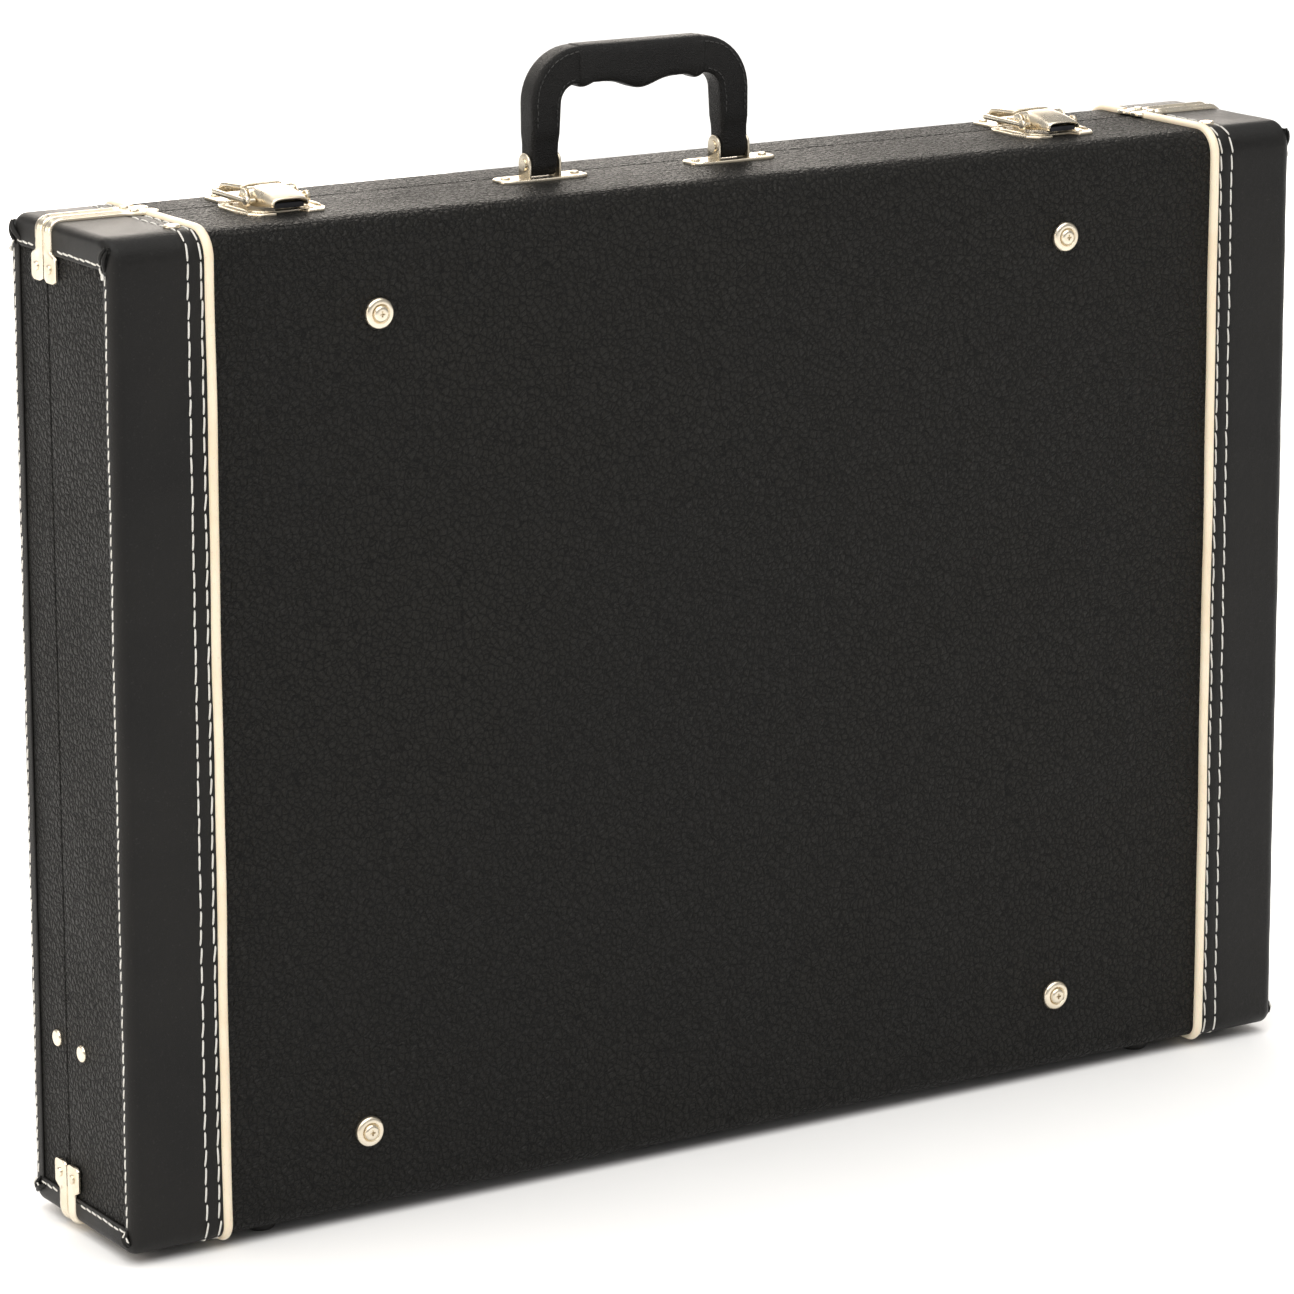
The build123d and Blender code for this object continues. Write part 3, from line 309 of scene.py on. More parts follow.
def facing(points, faces, outward):
    """Turns the faces round if on the whole they look against the outward directions."""
    outward = np.broadcast_to(outward, np.shape(points)).reshape(-1, 3)
    points = np.reshape(points, (-1, 3))
    a, b, c, d = (points[faces[:, k]] for k in range(4))
    looks = np.cross(c - a, d - b)
    if (looks * outward[faces].mean(axis=1)).sum() < 0:
        faces = faces[:, ::-1]
    return points, faces


def piece(name, body, slot, material, *surfaces, wall=0.0, sharp=40.0, replaces=()):
    """Joins surfaces (points in millimetres and quads) into one mesh in metres that rides a body.

    Points that coincide are merged, which closes poles; wall is a thickness laid inwards."""
    starts = np.cumsum([0] + [len(points) for points, _ in surfaces])
    points = np.concatenate([points for points, _ in surfaces]) * MM
    faces = np.concatenate([quads + start for (_, quads), start in zip(surfaces, starts)])
    mesh = bpy.data.meshes.new(name)
    mesh.from_pydata(points.tolist(), [], faces.tolist())
    shape = bmesh.new()
    shape.from_mesh(mesh)
    bmesh.ops.remove_doubles(shape, verts=shape.verts, dist=2e-6)
    shape.to_mesh(mesh)
    shape.free()
    mesh.shade_smooth()
    mesh.set_sharp_from_angle(angle=radians(sharp))
    mesh.materials.append(material)
    made = bpy.data.objects.new(name, mesh)
    bpy.context.scene.collection.objects.link(made)
    if wall:
        thicken = made.modifiers.new("wall", "SOLIDIFY")
        thicken.thickness = wall * MM
        thicken.offset = -1.0
    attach(made, body)
    if replaces:
        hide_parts(*replaces)
    return made


def rounded_path(corners, radii, step=6.0, arc_steps=8):
    """Points and directions along a polyline whose inner corners are rounded.

    Straight runs are cut every few millimetres; each corner is an arc tangent to both its runs."""
    def straight(begin, end):
        count = max(int(np.ceil(np.linalg.norm(end - begin) / step)), 1)
        return begin + np.linspace(0, 1, count + 1)[:, None] * (end - begin)

    corners = np.asarray(corners, float)
    points, ways = [], []
    start = corners[0]
    for before, corner, after, radius in zip(corners[:-2], corners[1:-1], corners[2:], radii):
        into, leave = unit(corner - before), unit(after - corner)
        turn = np.arccos(np.clip(into @ leave, -1.0, 1.0))
        inside = unit(leave - (leave @ into) * into)
        enter = corner - radius * np.tan(turn / 2) * into
        run = straight(start, enter)[:-1]
        swing = np.linspace(0, turn, arc_steps + 1)[:, None]
        arc = enter + radius * (np.sin(swing) * into + (1 - np.cos(swing)) * inside)
        points += [run, arc[:-1]]
        ways += [np.broadcast_to(into, run.shape), (np.cos(swing) * into + np.sin(swing) * inside)[:-1]]
        start = arc[-1]
    run = straight(start, corners[-1])
    points.append(run)
    ways.append(np.broadcast_to(unit(corners[-1] - start), run.shape))
    return np.concatenate(points), np.concatenate(ways)


SIDES = {"left": -1, "right": 1}
SIGNS = {"tray": -1, "lid": 1}
ENDS = [(half, name, side) for half in SIGNS for name, side in SIDES.items()]
EDGE_RADII = (13.0, 8.0)          # long edges: handle side, hinge side
RIM_TURN = 0.12                   # how far the vinyl stands off the plywood's rim
SKIN = 1.0                        # each layer of vinyl or leatherette
END_X = 340.0
TURNED_IN = 7.0                   # vinyl carried over the rim
FOLD = 0.9                        # radius of its fold


def half_case(half):
    """Rim, closed face, hinge side and handle side of one half, from its end cap's packed box."""
    low, high = packed_box(half + "_end_cap_left")
    rim, wall = (high[1], low[1]) if half == "tray" else (low[1], high[1])
    return rim, wall, low[2], high[2]


def outwards(half, ways):
    """Outward directions (y, z) across an outline that starts at the rim on the handle side."""
    return SIGNS[half] * np.stack([-ways[:, 1], ways[:, 0]], axis=-1)


def covering(half):
    """Vinyl of one half: an outline carried along X, and an end panel turned over the rim.

    The outline runs from inside the rim over it, down round the closed face and back. A very
    slight swell, a few sines across both directions, keeps the large face from being dead flat."""
    rim, wall, low, high = half_case(half)
    sign = SIGNS[half]
    rim -= sign * RIM_TURN
    wall -= sign * SKIN
    low, high = low + SKIN, high - SKIN
    corners = [(rim, high - TURNED_IN), (rim, high), (wall, high), (wall, low), (rim, low),
               (rim, low + TURNED_IN)]
    outline, ways = rounded_path(corners, (FOLD, EDGE_RADII[0] - SKIN, EDGE_RADII[1] - SKIN, FOLD),
                                 step=14.0, arc_steps=7)
    normals = outwards(half, ways)
    across = np.linspace(-336.0, 336.0, 49)[:, None]
    swell = 0.10 * (np.sin(across / 47.0) * np.sin(outline[:, 1] / 61.0)
                    + 0.6 * np.sin(across / 23.0 + 1.0) * np.sin(outline[:, 1] / 35.0 + 2.0))
    on_face = np.abs(normals[:, 0]) * (np.abs(outline[:, 0] - wall) < 1.0)
    swell = (swell - 0.12) * on_face
    sleeve = points_of(across, *(outline[:, k] + swell * normals[:, k] for k in range(2)))
    surfaces = [facing(sleeve, grid_faces(*sleeve.shape[:2]), points_of(0.0, *normals.T))]
    upright = np.linspace(low + 3.0, high - 3.0, 33)[:, None]
    for side in SIDES.values():
        end = side * (END_X - SKIN)
        turned_in = [(end, wall - sign * 3.0), (end, rim), (end - side * TURNED_IN, rim)]
        plan, _ = rounded_path(turned_in, (FOLD,), step=8.0, arc_steps=5)
        panel = points_of(*plan.T, upright)
        surfaces.append(facing(panel, grid_faces(*panel.shape[:2]), (side, -sign * 0.5, 0.0)))
    return surfaces


for half in SIGNS:
    piece(half + "_vinyl", half, "grained_vinyl", grained_vinyl, *covering(half), wall=0.8,
          replaces=[half + "_covering"])

# ---- smooth leatherette end caps -------------------------------------------------------------
# Each end is wrapped in smooth black leatherette that starts under the piping, is folded over
# the end's edge and sewn down as a border round the grained panel, mitred at the closed corners.
smooth_leather, spot, shader = finish("smooth_leatherette", Roughness=0.4, Specular_IOR_Level=0.17)
skin = placed(pebbles, spot, 1500.0, Crease=0.1)
marks = placed(handling, spot, 14.0)
upright = add(spot, "Mapping", Vector=spot, Scale=(1.0, 1.0, 0.16)).outputs["Vector"]
long_creases = noise(upright, 70.0, 5.0, Roughness=0.6)
body_black = mixed(marks["Smudge"], (0.0085, 0.0083, 0.0080), (0.0125, 0.0120, 0.0112))
scuffed = laid_over(marks["Dust"], 0.06, body_black, (0.25, 0.24, 0.22))
wire(shader, Base_Color=scuffed)
wire(shader, Roughness=between(marks["Smudge"], 0.33, 0.45))
relief(shader, reckon("MULTIPLY_ADD", long_creases, 2.5, skin["Height"]), 0.00006)

PIPING_X = 290.0
STITCH_X = (294.2, 301.0)                  # the two sewn lines beside the piping
BORDERS = {"tray": 8.5, "lid": 11.0}       # leather on the end face, at the closed face
BORDER_TOP, BORDER_BOTTOM = 15.0, 12.5
SEAM_IN = {"tray": 2.0, "lid": 5.0}        # border stitching, from the leather's cut edge
SEAM_TOP, SEAM_BOTTOM = 2.0, 2.2
MITRE = 0.85                               # how far the open mitre reaches, of the way to the fold
FOLD_BACK = 5.3                            # the fold, from the edge's arc


def cap_skin(half, side):
    """Leatherette of one end of one half, on a grid of stations along the outline by steps across.

    Each station goes from the piping to the end edge, round an arc, and over the end face to the
    cut edge, which is the outline moved into the window. At the closed corners the cut edge runs
    out into the corner and back, which leaves the open mitre. Sewn lines are pressed in."""
    rim, wall, low, high = half_case(half)
    sign = SIGNS[half]
    rim -= sign * RIM_TURN
    start = rim + sign * 1.4
    corners = [(start, high), (wall, high), (wall, low), (start, low)]
    outline, ways = rounded_path(corners, EDGE_RADII, step=5.0, arc_steps=10)
    lip = np.array([0.0, 0.12, 0.35, 0.8])
    first = np.stack([rim + sign * lip, np.full(4, high)], -1)
    last = np.stack([rim + sign * lip[::-1], np.full(4, low)], -1)
    outline = np.concatenate([first, outline, last])
    ways = np.concatenate([np.repeat(ways[:1], 4, 0), ways, np.repeat(ways[-1:], 4, 0)])
    normals = outwards(half, ways)
    rolled = 0.8 - np.sqrt(np.clip(0.64 - np.clip(0.8 - np.abs(outline[:, 0] - rim), 0, 0.8) ** 2, 0, 1))

    radius = 4.5 + 1.5 * np.abs(normals[:, 0])
    flat = np.array([290.0, 291.5, 293.2, 294.2, 295.2, 297.0, 299.2, 300.2, 301.0, 302.0, 304.0,
                     309.0, 316.0, 323.0, 329.0])
    swing = np.linspace(0, pi / 2, 8)
    window_y = wall - sign * BORDERS[half]
    window = np.stack([sign * np.minimum(sign * outline[:, 0], sign * window_y),
                       np.clip(outline[:, 1], low + BORDER_BOTTOM, high - BORDER_TOP)], -1)
    curl = np.zeros(len(outline))
    for corner_z, edge_radius in ((high, EDGE_RADII[0]), (low, EDGE_RADII[1])):
        toward = np.sign(corner_z - (low + high) / 2)
        centre = np.array([wall - sign * edge_radius, corner_z - toward * edge_radius])
        heading = np.arctan2(toward * (outline[:, 1] - centre[1]), sign * (outline[:, 0] - centre[0]))
        bend = np.clip(1 - np.abs(heading - pi / 4) / (pi / 4), 0, 1)
        bend = bend * (np.linalg.norm(outline - centre, axis=1) < edge_radius + 0.1)
        border = BORDER_TOP if toward > 0 else BORDER_BOTTOM
        fold = centre + (edge_radius - FOLD_BACK) * np.array([sign, toward]) * np.sqrt(0.5)
        window += bend[:, None] * (fold - np.array([window_y, corner_z - toward * border])) * MITRE
        curl = np.maximum(curl, bend)
    folded = outline - radius[:, None] * normals
    inward = window - folded
    reach = np.linalg.norm(inward, axis=1, keepdims=True)
    inward /= reach
    seam = np.where(np.abs(normals[:, 0]) > 0.7, SEAM_IN[half],
                    np.where(outline[:, 1] > (low + high) / 2, SEAM_TOP, SEAM_BOTTOM))[:, None]

    rows, looks, dips = [], [], []
    count = len(outline)
    face_look = points_of(0.0, *normals.T)
    end_look = np.broadcast_to(side * ALONG_X, face_look.shape)
    for x in flat:
        rows.append(points_of(side * x, *outline.T))
        looks.append(face_look)
        dips.append(sum(0.42 * np.exp(-((x - line) / 0.9) ** 2) for line in STITCH_X)
                    - 0.18 * np.exp(-((x - 297.6) / 2.2) ** 2))
    for angle in swing:
        offset = outline - (radius * (1 - np.cos(angle)))[:, None] * normals
        rows.append(np.column_stack([side * (END_X - radius * (1 - np.sin(angle))), offset]))
        looks.append(face_look * np.cos(angle) + end_look * np.sin(angle))
        dips.append(0.0)
    for share, back, dip, lift in ((0.35, 0, 0, 0.1), (0.7, 0, 0, 0.5), (None, 1.3, 0.05, 0.7),
                                   (None, 0.0, 0.4, 0.8), (None, -1.2, 0.0, 1.0), (1.0, 0, 0.05, 1.3)):
        along = reach * share if share is not None else np.maximum(reach - seam - back, reach * 0.75)
        along = np.minimum(along, reach * 0.97) if share is None else along
        rows.append(points_of(side * END_X, *(folded + along * inward).T))
        looks.append(end_look)
        dips.append(dip - lift * curl)
    inner_look = points_of(0.0, *inward.T)
    for down, out_by in ((0.3, 0.22), (0.95, 0.3)):
        rows.append(np.column_stack([side * (END_X - down + 1.2 * curl), window + out_by * inward]))
        looks.append(inner_look)
        dips.append(0.0)
    rows, looks = np.stack(rows), np.stack(looks)
    slack = 0.06 * (np.sin(rows[..., 2] / 9.0 + rows[..., 1] / 5.0) + np.sin(rows[..., 2] / 4.1 + 2.0))
    drop = np.array([np.broadcast_to(dip, count) for dip in dips]) + rolled[None] + slack
    drop[:2] = rolled
    points = rows - looks * drop[..., None]
    return facing(points, grid_faces(*points.shape[:2]), looks)


def carried(path, across, upward, section):
    """A closed section carried along a path, its two coordinates laid along two directions.

    Each end is closed by a ring shrunk to its middle."""
    section = np.broadcast_to(section, (len(path),) + np.shape(section)[-2:])
    across, upward = (np.broadcast_to(way, path.shape)[:, None] for way in (across, upward))
    rings = path[:, None] + across * section[..., :1] + upward * section[..., 1:]
    middles = rings.mean(axis=1, keepdims=True)
    ends = [np.broadcast_to(middles[k], rings[0].shape)[None] for k in (0, -1)]
    looks = rings - middles
    looks = np.concatenate([looks[:1] * 0, looks, looks[-1:] * 0])
    rings = np.concatenate([ends[0], rings, ends[1]])
    return facing(rings, grid_faces(len(rings), rings.shape[1], ring=True), looks)


def disc(radius, count, squareness=2.0, flat=1.0):
    """Closed outline between a circle and a rounded square, by the superellipse rule."""
    angle = np.linspace(0, 2 * pi, count, endpoint=False)
    c, s = np.cos(angle), np.sin(angle)
    power = 2.0 / squareness
    return np.stack([radius * np.sign(c) * np.abs(c) ** power,
                     radius * flat * np.sign(s) * np.abs(s) ** power], -1)


def mitre_lips(half, side):
    """The mitre's two cut edges, rolled up: at each closed corner, two tapering tubes that start
    together near the fold and part as a wedge towards the window, bulging off the end face."""
    rim, wall, low, high = half_case(half)
    sign = SIGNS[half]
    made = []
    for corner_z, border in ((high, BORDER_TOP), (low, BORDER_BOTTOM)):
        toward = np.sign(corner_z - (low + high) / 2)
        share = np.linspace(0.0, 1.0, 13)
        for apart, size in ((-1.0, 1.0), (1.0, 0.8)):
            y = wall - sign * (4.4 + (BORDERS[half] - 4.2) * share - apart * (0.7 + 1.7 * share ** 1.5))
            z = corner_z - toward * (4.8 + (border - 6.0) * share + apart * (0.5 + 0.9 * share))
            bulge = 0.5 + 1.1 * np.sin(pi * np.clip(share * 1.1, 0, 1))
            path = np.column_stack([side * (END_X - 0.3 + bulge), y, z])
            girth = size * (0.25 + 1.0 * np.sin(pi * (0.06 + 0.88 * share)) ** 0.6)
            run = unit(np.gradient(path, axis=0))
            across = unit(np.cross(run, ALONG_X))
            made.append(carried(path, across, np.cross(across, run), girth[:, None, None] * disc(1.0, 12)))
    return made


for half, name, side in ENDS:
    piece(f"{half}_cap_leather_{name}", half, "smooth_leatherette", smooth_leather,
          cap_skin(half, side), wall=0.85, sharp=70.0, replaces=[f"{half}_end_cap_{name}"])
    piece(f"{half}_mitre_lips_{name}", half, "smooth_leatherette", smooth_leather,
          *mitre_lips(half, side), sharp=70.0)

# ---- cream piping ----------------------------------------------------------------------------
# Vinyl-covered cord sewn in along each cap's edge. It runs from clamp to clamp round each half
# and covers the joint between the leatherette and the grained vinyl.
cream, spot, shader = finish("cream_piping", Roughness=0.36, Coat_Weight=0.15, Coat_Roughness=0.25,
                             Subsurface_Weight=0.08, Subsurface_Scale=0.002)
marks = placed(handling, spot, 26.0)
clean = mixed(marks["Smudge"], (0.88, 0.77, 0.59), (0.82, 0.69, 0.50))
wire(shader, Base_Color=laid_over(marks["Dust"], 0.3, clean,
                                  (0.42, 0.34, 0.24)))
wire(shader, Roughness=between(marks["Smudge"], 0.3, 0.45))
weave = noise(spot, 600.0, 3.0)
relief(shader, weave, 0.00006)


PIPING_RADIUS = 2.5
PIPING_SUNK = 0.5                 # its middle line, below the leather
PIPING_STOP = 8.6                 # its ends, from the rim


def cord(half, side):
    """Round cord half sunk at the cap's edge, on the half's outline from clamp to clamp."""
    rim, wall, low, high = half_case(half)
    sign = SIGNS[half]
    stop, face = rim + sign * PIPING_STOP, wall - sign * PIPING_SUNK
    high, low = high - PIPING_SUNK, low + PIPING_SUNK
    outline, ways = rounded_path([(stop, high), (face, high), (face, low), (stop, low)],
                                 [radius - PIPING_SUNK for radius in EDGE_RADII], step=6.0)
    normals = outwards(half, ways)
    run = distances(outline)
    wobble = 0.18 * np.sin(run / 31.0) + 0.1 * np.sin(run / 13.0 + 1.0)
    path = points_of(side * (PIPING_X + wobble), *outline.T)
    size = 1 + 0.02 * np.sin(run / 17.0 + side)
    return carried(path, ALONG_X, points_of(0.0, *normals.T), size[:, None, None] * disc(PIPING_RADIUS, 14))


for half, name, side in ENDS:
    piece(f"{half}_cord_{name}", half, "cream_piping", cream, cord(half, side),
          replaces=[f"{half}_piping_{name}"])

# ---- white thread ----------------------------------------------------------------------------
# Heavy waxed white thread, lock-stitched in two lines beside the piping and in one line round
# the border on each end. Each stitch is one short length that dives into the leather.
thread, spot, shader = finish("white_thread", Roughness=0.75, Sheen_Weight=0.3)
strands = add(spot, "TexWave", {"wave_type": "BANDS", "bands_direction": "DIAGONAL"}, Vector=spot,
              Scale=900.0, Distortion=1.5, Detail=1.0)
marks = placed(handling, spot, 60.0)
laid = mixed(strands.outputs["Fac"], (0.70, 0.68, 0.62), (0.92, 0.91, 0.87))
wire(shader, Base_Color=laid_over(marks["Smudge"], 0.3, laid,
                                  (0.62, 0.58, 0.5)))
relief(shader, strands.outputs["Fac"], 0.00015)

THREAD = 0.52                     # its radius
SUNK = 0.35                       # the lines beside the piping, below the leather
PITCH, LENGTH = 9.0, 8.3          # beside the piping
BORDER_PITCH, BORDER_LENGTH = 5.8, 5.6


def sewn(path, normals, pitch=PITCH, length=LENGTH, thick=THREAD, seed=1, lean=0.05):
    """A row of stitches on a path: each a capsule whose middle line rises off the surface.

    Along a stitch, t from -1 to 1, the middle is thick * (1 - t^4) high and the radius shrinks to
    nothing at both ends; each stitch leans a little, by the same side plus a small chance."""
    chance = np.random.default_rng(seed)
    normals = np.broadcast_to(normals, path.shape)
    run = distances(path)
    count = max(int(round(run[-1] / pitch)), 1)
    middles = (np.arange(count) + 0.5) * run[-1] / count
    half = length / 2
    spots, up = spots_at(middles, run, path), unit(spots_at(middles, run, normals))
    ahead = unit(spots_at(middles + half, run, path) - spots_at(middles - half, run, path))
    beside = np.cross(up, ahead)
    ahead = ahead + beside * (lean + chance.normal(0, 0.035, count))[:, None]
    spots = spots + beside * chance.normal(0, 0.12, count)[:, None]
    t = np.array([-1.0, -0.94, -0.7, 0.0, 0.7, 0.94, 1.0])
    angle = np.linspace(0, 2 * pi, 6, endpoint=False)
    sizes = half * (1 + chance.normal(0, 0.04, count))
    radius = thick * np.sqrt(np.clip(1 - t ** 10, 0, 1))
    lift = thick * (1.1 * (1 - t ** 4) - 0.5)
    middle = spots[:, None] + ahead[:, None] * (t * sizes[:, None])[..., None] + up[:, None] * lift[:, None]
    ring = beside[:, None, None] * np.cos(angle)[:, None] + up[:, None, None] * 0.85 * np.sin(angle)[:, None]
    around = ring * radius[None, :, None, None]
    quads = grid_faces(len(t), len(angle), ring=True)
    quads = quads + (np.arange(count) * len(t) * len(angle))[:, None, None]
    return facing(middle[:, :, None] + around, quads.reshape(-1, 4), around)


def cap_stitches(half, side, seed):
    """Two lines on the outline beside the piping, three lines of the border on the end face, the
    single stitches that cross at its closed corners, and a lumpy knot."""
    rim, wall, low, high = half_case(half)
    sign = SIGNS[half]
    surfaces = []
    stop = rim + sign * 11.5
    outline, ways = rounded_path([(stop, high), (wall, high), (wall, low), (stop, low)], EDGE_RADII, step=3.0)
    normals = points_of(0.0, *outwards(half, ways).T)
    for index, x in enumerate(STITCH_X):
        path = points_of(side * x, *outline.T) - SUNK * normals
        surfaces.append(sewn(path, normals, seed=seed + index, lean=0.05 * side))
    seam_y = wall - sign * (BORDERS[half] - SEAM_IN[half])
    seam_top, seam_bottom = high - BORDER_TOP + SEAM_TOP, low + BORDER_BOTTOM - SEAM_BOTTOM
    face = side * (END_X - 0.3)
    lines = [((rim + sign * 12.0, seam_top), (seam_y - sign * 3.0, seam_top)),
             ((seam_y, seam_top - 3.5), (seam_y, seam_bottom + 3.0)),
             ((seam_y - sign * 3.0, seam_bottom), (rim + sign * 12.0, seam_bottom)),
             ((seam_y - sign * 2.6, seam_top - 0.2), (seam_y + sign * 0.6, seam_top - 4.6)),
             ((seam_y - sign * 3.2, seam_bottom - 3.0), (seam_y + sign * 0.8, seam_bottom + 1.2)),
             ((seam_y - sign * 0.6, seam_bottom + 1.4), (seam_y + sign * 3.2, seam_bottom - 2.8))]
    for index, (begin, end) in enumerate(np.array(lines)):
        crossing = index >= 3
        flat = begin + np.linspace(0, 1, 40)[:, None] * (end - begin)
        path = points_of(face + side * (1.5 if crossing else 0.0), *flat.T)
        path[:, 1] += 0.25 * np.sin(flat[:, 1] / 19.0 + side) if index == 1 else 0.0
        pitch, length, lean = ((20.0, np.linalg.norm(end - begin), 0.0) if crossing
                               else (BORDER_PITCH, BORDER_LENGTH, 0.12 * side))
        surfaces.append(sewn(path, side * ALONG_X, pitch, length, seed=seed + 10 + index, lean=lean))
    knot = np.array([face + side * 1.7, seam_y + sign * 0.4, seam_top - 4.6])
    angle = np.linspace(0, pi, 7)[:, None]
    turn = np.linspace(0, 2 * pi, 9)[:-1]
    ball = points_of(np.cos(angle), np.sin(angle) * np.cos(turn), np.sin(angle) * np.sin(turn))
    lumps = 1 + 0.18 * np.sin(3 * turn + 2 * angle)
    shape = ball * lumps[..., None] * np.array([0.8, 1.1, 1.6])
    surfaces.append(facing(knot + shape, grid_faces(7, 8, ring=True), ball))
    return surfaces


SEEDS = {"tray": 100, "lid": 200}
for half, name, side in ENDS:
    piece(f"{half}_stitching_{name}", half, "thread", thread,
          *cap_stitches(half, side, SEEDS[half] + 10 * side), sharp=80.0)

# ---- nickel corner clamps --------------------------------------------------------------------
# Pressed and nickel-plated strips over the corners, one on each half, side by side at the
# parting line. Each has a rounded rib and ends in a flat riveted plate.
scratches, given, out = group("fine_scratches", ("Vector", "Size"), ("Scratch", "Cloud"))
drawn = add(out, "Mapping", Vector=given["Vector"], Rotation=(0.3, 0.5, 0.7), Scale=(1.0, 14.0, 3.0))
hair = noise(drawn.outputs["Vector"], given["Size"], 4.0, Roughness=0.7)
cloud = noise(given["Vector"], 70.0, 3.0)
wire(out, Scratch=between(hair, 0.0, 1.0, 0.55, 0.72),
     Cloud=between(cloud, 0.0, 1.0, 0.35, 0.65))


def metal(name, bright, dull, smooth, rough, size):
    """Plated metal: clouded colour, hairline scratches in the gloss and a faint pressed ripple."""
    made, spot, shader = finish(name, Metallic=1.0)
    wear = placed(scratches, spot, size)
    wire(shader, Base_Color=laid_over(wear["Cloud"], 0.6, bright, dull))
    base = between(wear["Cloud"], smooth, (smooth + rough) / 2)
    wire(shader, Roughness=reckon("MULTIPLY_ADD", wear["Scratch"], rough - smooth, base))
    ripple = noise(spot, 260.0, 2.0)
    relief(shader, reckon("MULTIPLY_ADD", wear["Scratch"], -0.2, ripple), 0.00005)
    return made


nickel = metal("warm_nickel", (0.84, 0.76, 0.62), (0.72, 0.63, 0.48), 0.22, 0.42, 90.0)
# Only the plate inside the latch's nose uses this near-black steel; its darkness is painted shade in the
# nose's opening.
nose_shade_steel = metal("nose_plate_steel_painted_shade", (0.05, 0.05, 0.055), (0.03, 0.03, 0.033), 0.35, 0.55, 120.0)
steel = metal("zinc_steel", (0.66, 0.65, 0.63), (0.50, 0.49, 0.47), 0.28, 0.5, 120.0)


CLAMP_START, CLAMP_DROP, CLAMP_BEND = 284.5, 28.5, 5.0
CLAMP_WIDTH, TOP_WIDER, END_WIDER = 7.6, 2.3, 4.8
CLAMP_ROUND = 2.6                 # corners of its two ends
CLAMP_THICK, RIB = 1.4, 0.9


def clamp(half, side, end):
    """A strip on the corner's rounded path; its section changes along it.

    Across the strip, w from 0 to 1 between its two edges, the height is a plate plus a rib shaped
    exp(-((w - 0.5) / 0.22)^2) that fades into each end plate, with edges rounded down."""
    rim, wall, low, high = half_case(half)
    sign = SIGNS[half]
    level = high if end > 0 else low
    corners = [(side * CLAMP_START, level), (side * END_X, level), (side * END_X, level - end * CLAMP_DROP)]
    flat, ways = rounded_path(corners, (CLAMP_BEND,), step=1.2, arc_steps=8)
    run = distances(flat)
    total = run[-1]
    normals = side * end * np.stack([-ways[:, 1], ways[:, 0]], -1)

    def plate(start, finish, blend):
        rise = np.clip((run - start + blend) / blend, 0, 1) * np.clip((finish + blend - run) / blend, 0, 1)
        return rise * rise * (3 - 2 * rise)

    top_plate = plate(-1.0, 15.0, 3.5)
    end_plate = plate(total - 12.0, total + 1.0, 2.5)
    width = CLAMP_WIDTH + TOP_WIDER * top_plate + END_WIDER * end_plate
    into = np.clip(CLAMP_ROUND - np.minimum(run, total - run), 0, CLAMP_ROUND)
    taper = CLAMP_ROUND - np.sqrt(CLAMP_ROUND ** 2 - into ** 2)
    near_edge, far_edge = 0.2 + taper, width - taper
    rib = RIB * (1 - np.maximum(top_plate, end_plate))
    w = np.array([0.0, 0.0, 0.04, 0.12, 0.25, 0.38, 0.5, 0.62, 0.75, 0.88, 0.96, 1.0, 1.0])
    edge = np.interp(np.minimum(w, 1 - w), [0.0, 0.04, 0.12], [0.6, 0.85, 1.0])
    edge[[0, -1]] = 0.0
    tall = CLAMP_THICK * edge + rib[:, None] * np.exp(-((w - 0.5) / 0.22) ** 2)
    tall = np.where(edge == 0, -0.1, tall)
    spots = near_edge[:, None] + (far_edge - near_edge)[:, None] * w
    section = np.stack([spots, tall], -1)
    path = points_of(flat[:, 0], rim, flat[:, 1])
    return carried(path, sign * ALONG_Y, points_of(normals[:, 0], 0.0, normals[:, 1]), section)


for half, name, side in ENDS:
    for end_name, end in (("top", 1), ("bottom", -1)):
        piece(f"{half}_corner_clamp_{end_name}_{name}", half, "nickel", nickel, clamp(half, side, end),
              sharp=50.0, replaces=[f"{half}_clamp_{end_name}_{name}"])

# ---- rivets, screws and cup washers ------------------------------------------------------------
# Domed nickel rivets hold the hardware; four oval-head screws sit in turned cup washers on the
# closed face and carry the pedal deck.
dress(nickel, "nickel", "tray_rivets", "lid_rivets", "cap_rivets", "tray_stay_rivets", "lid_stay_rivets",
      "cup_washers", "deck_screws")
dress(steel, "steel", "tee_nuts")

# ---- draw latches ------------------------------------------------------------------------------
# Each latch is a shield-shaped base on the tray with a pressed lever cover, curled round its pin,
# and a bail whose two side bars pull a hooked cover plate over the catch on the lid.
LEVER_PIN = (-17.0, 6.5)            # y, z from the latch's own spot at the parting line
BAIL_PIN = (-24.0, 5.0)
NOSE_Y, ROLL, SKIRT_ROUND = -38.5, 4.6, 4.75     # lever's nose, and its radii about its pin
BAIL_HALF, BAIL_BACK = 15.9, 10.4


def latch_spot(name):
    """Middle of the latch at the parting line, on the vinyl."""
    low, high = packed_box("latch_base_" + name)
    return np.array([(low[0] + high[0]) / 2, high[1] + 1.0, low[2]])


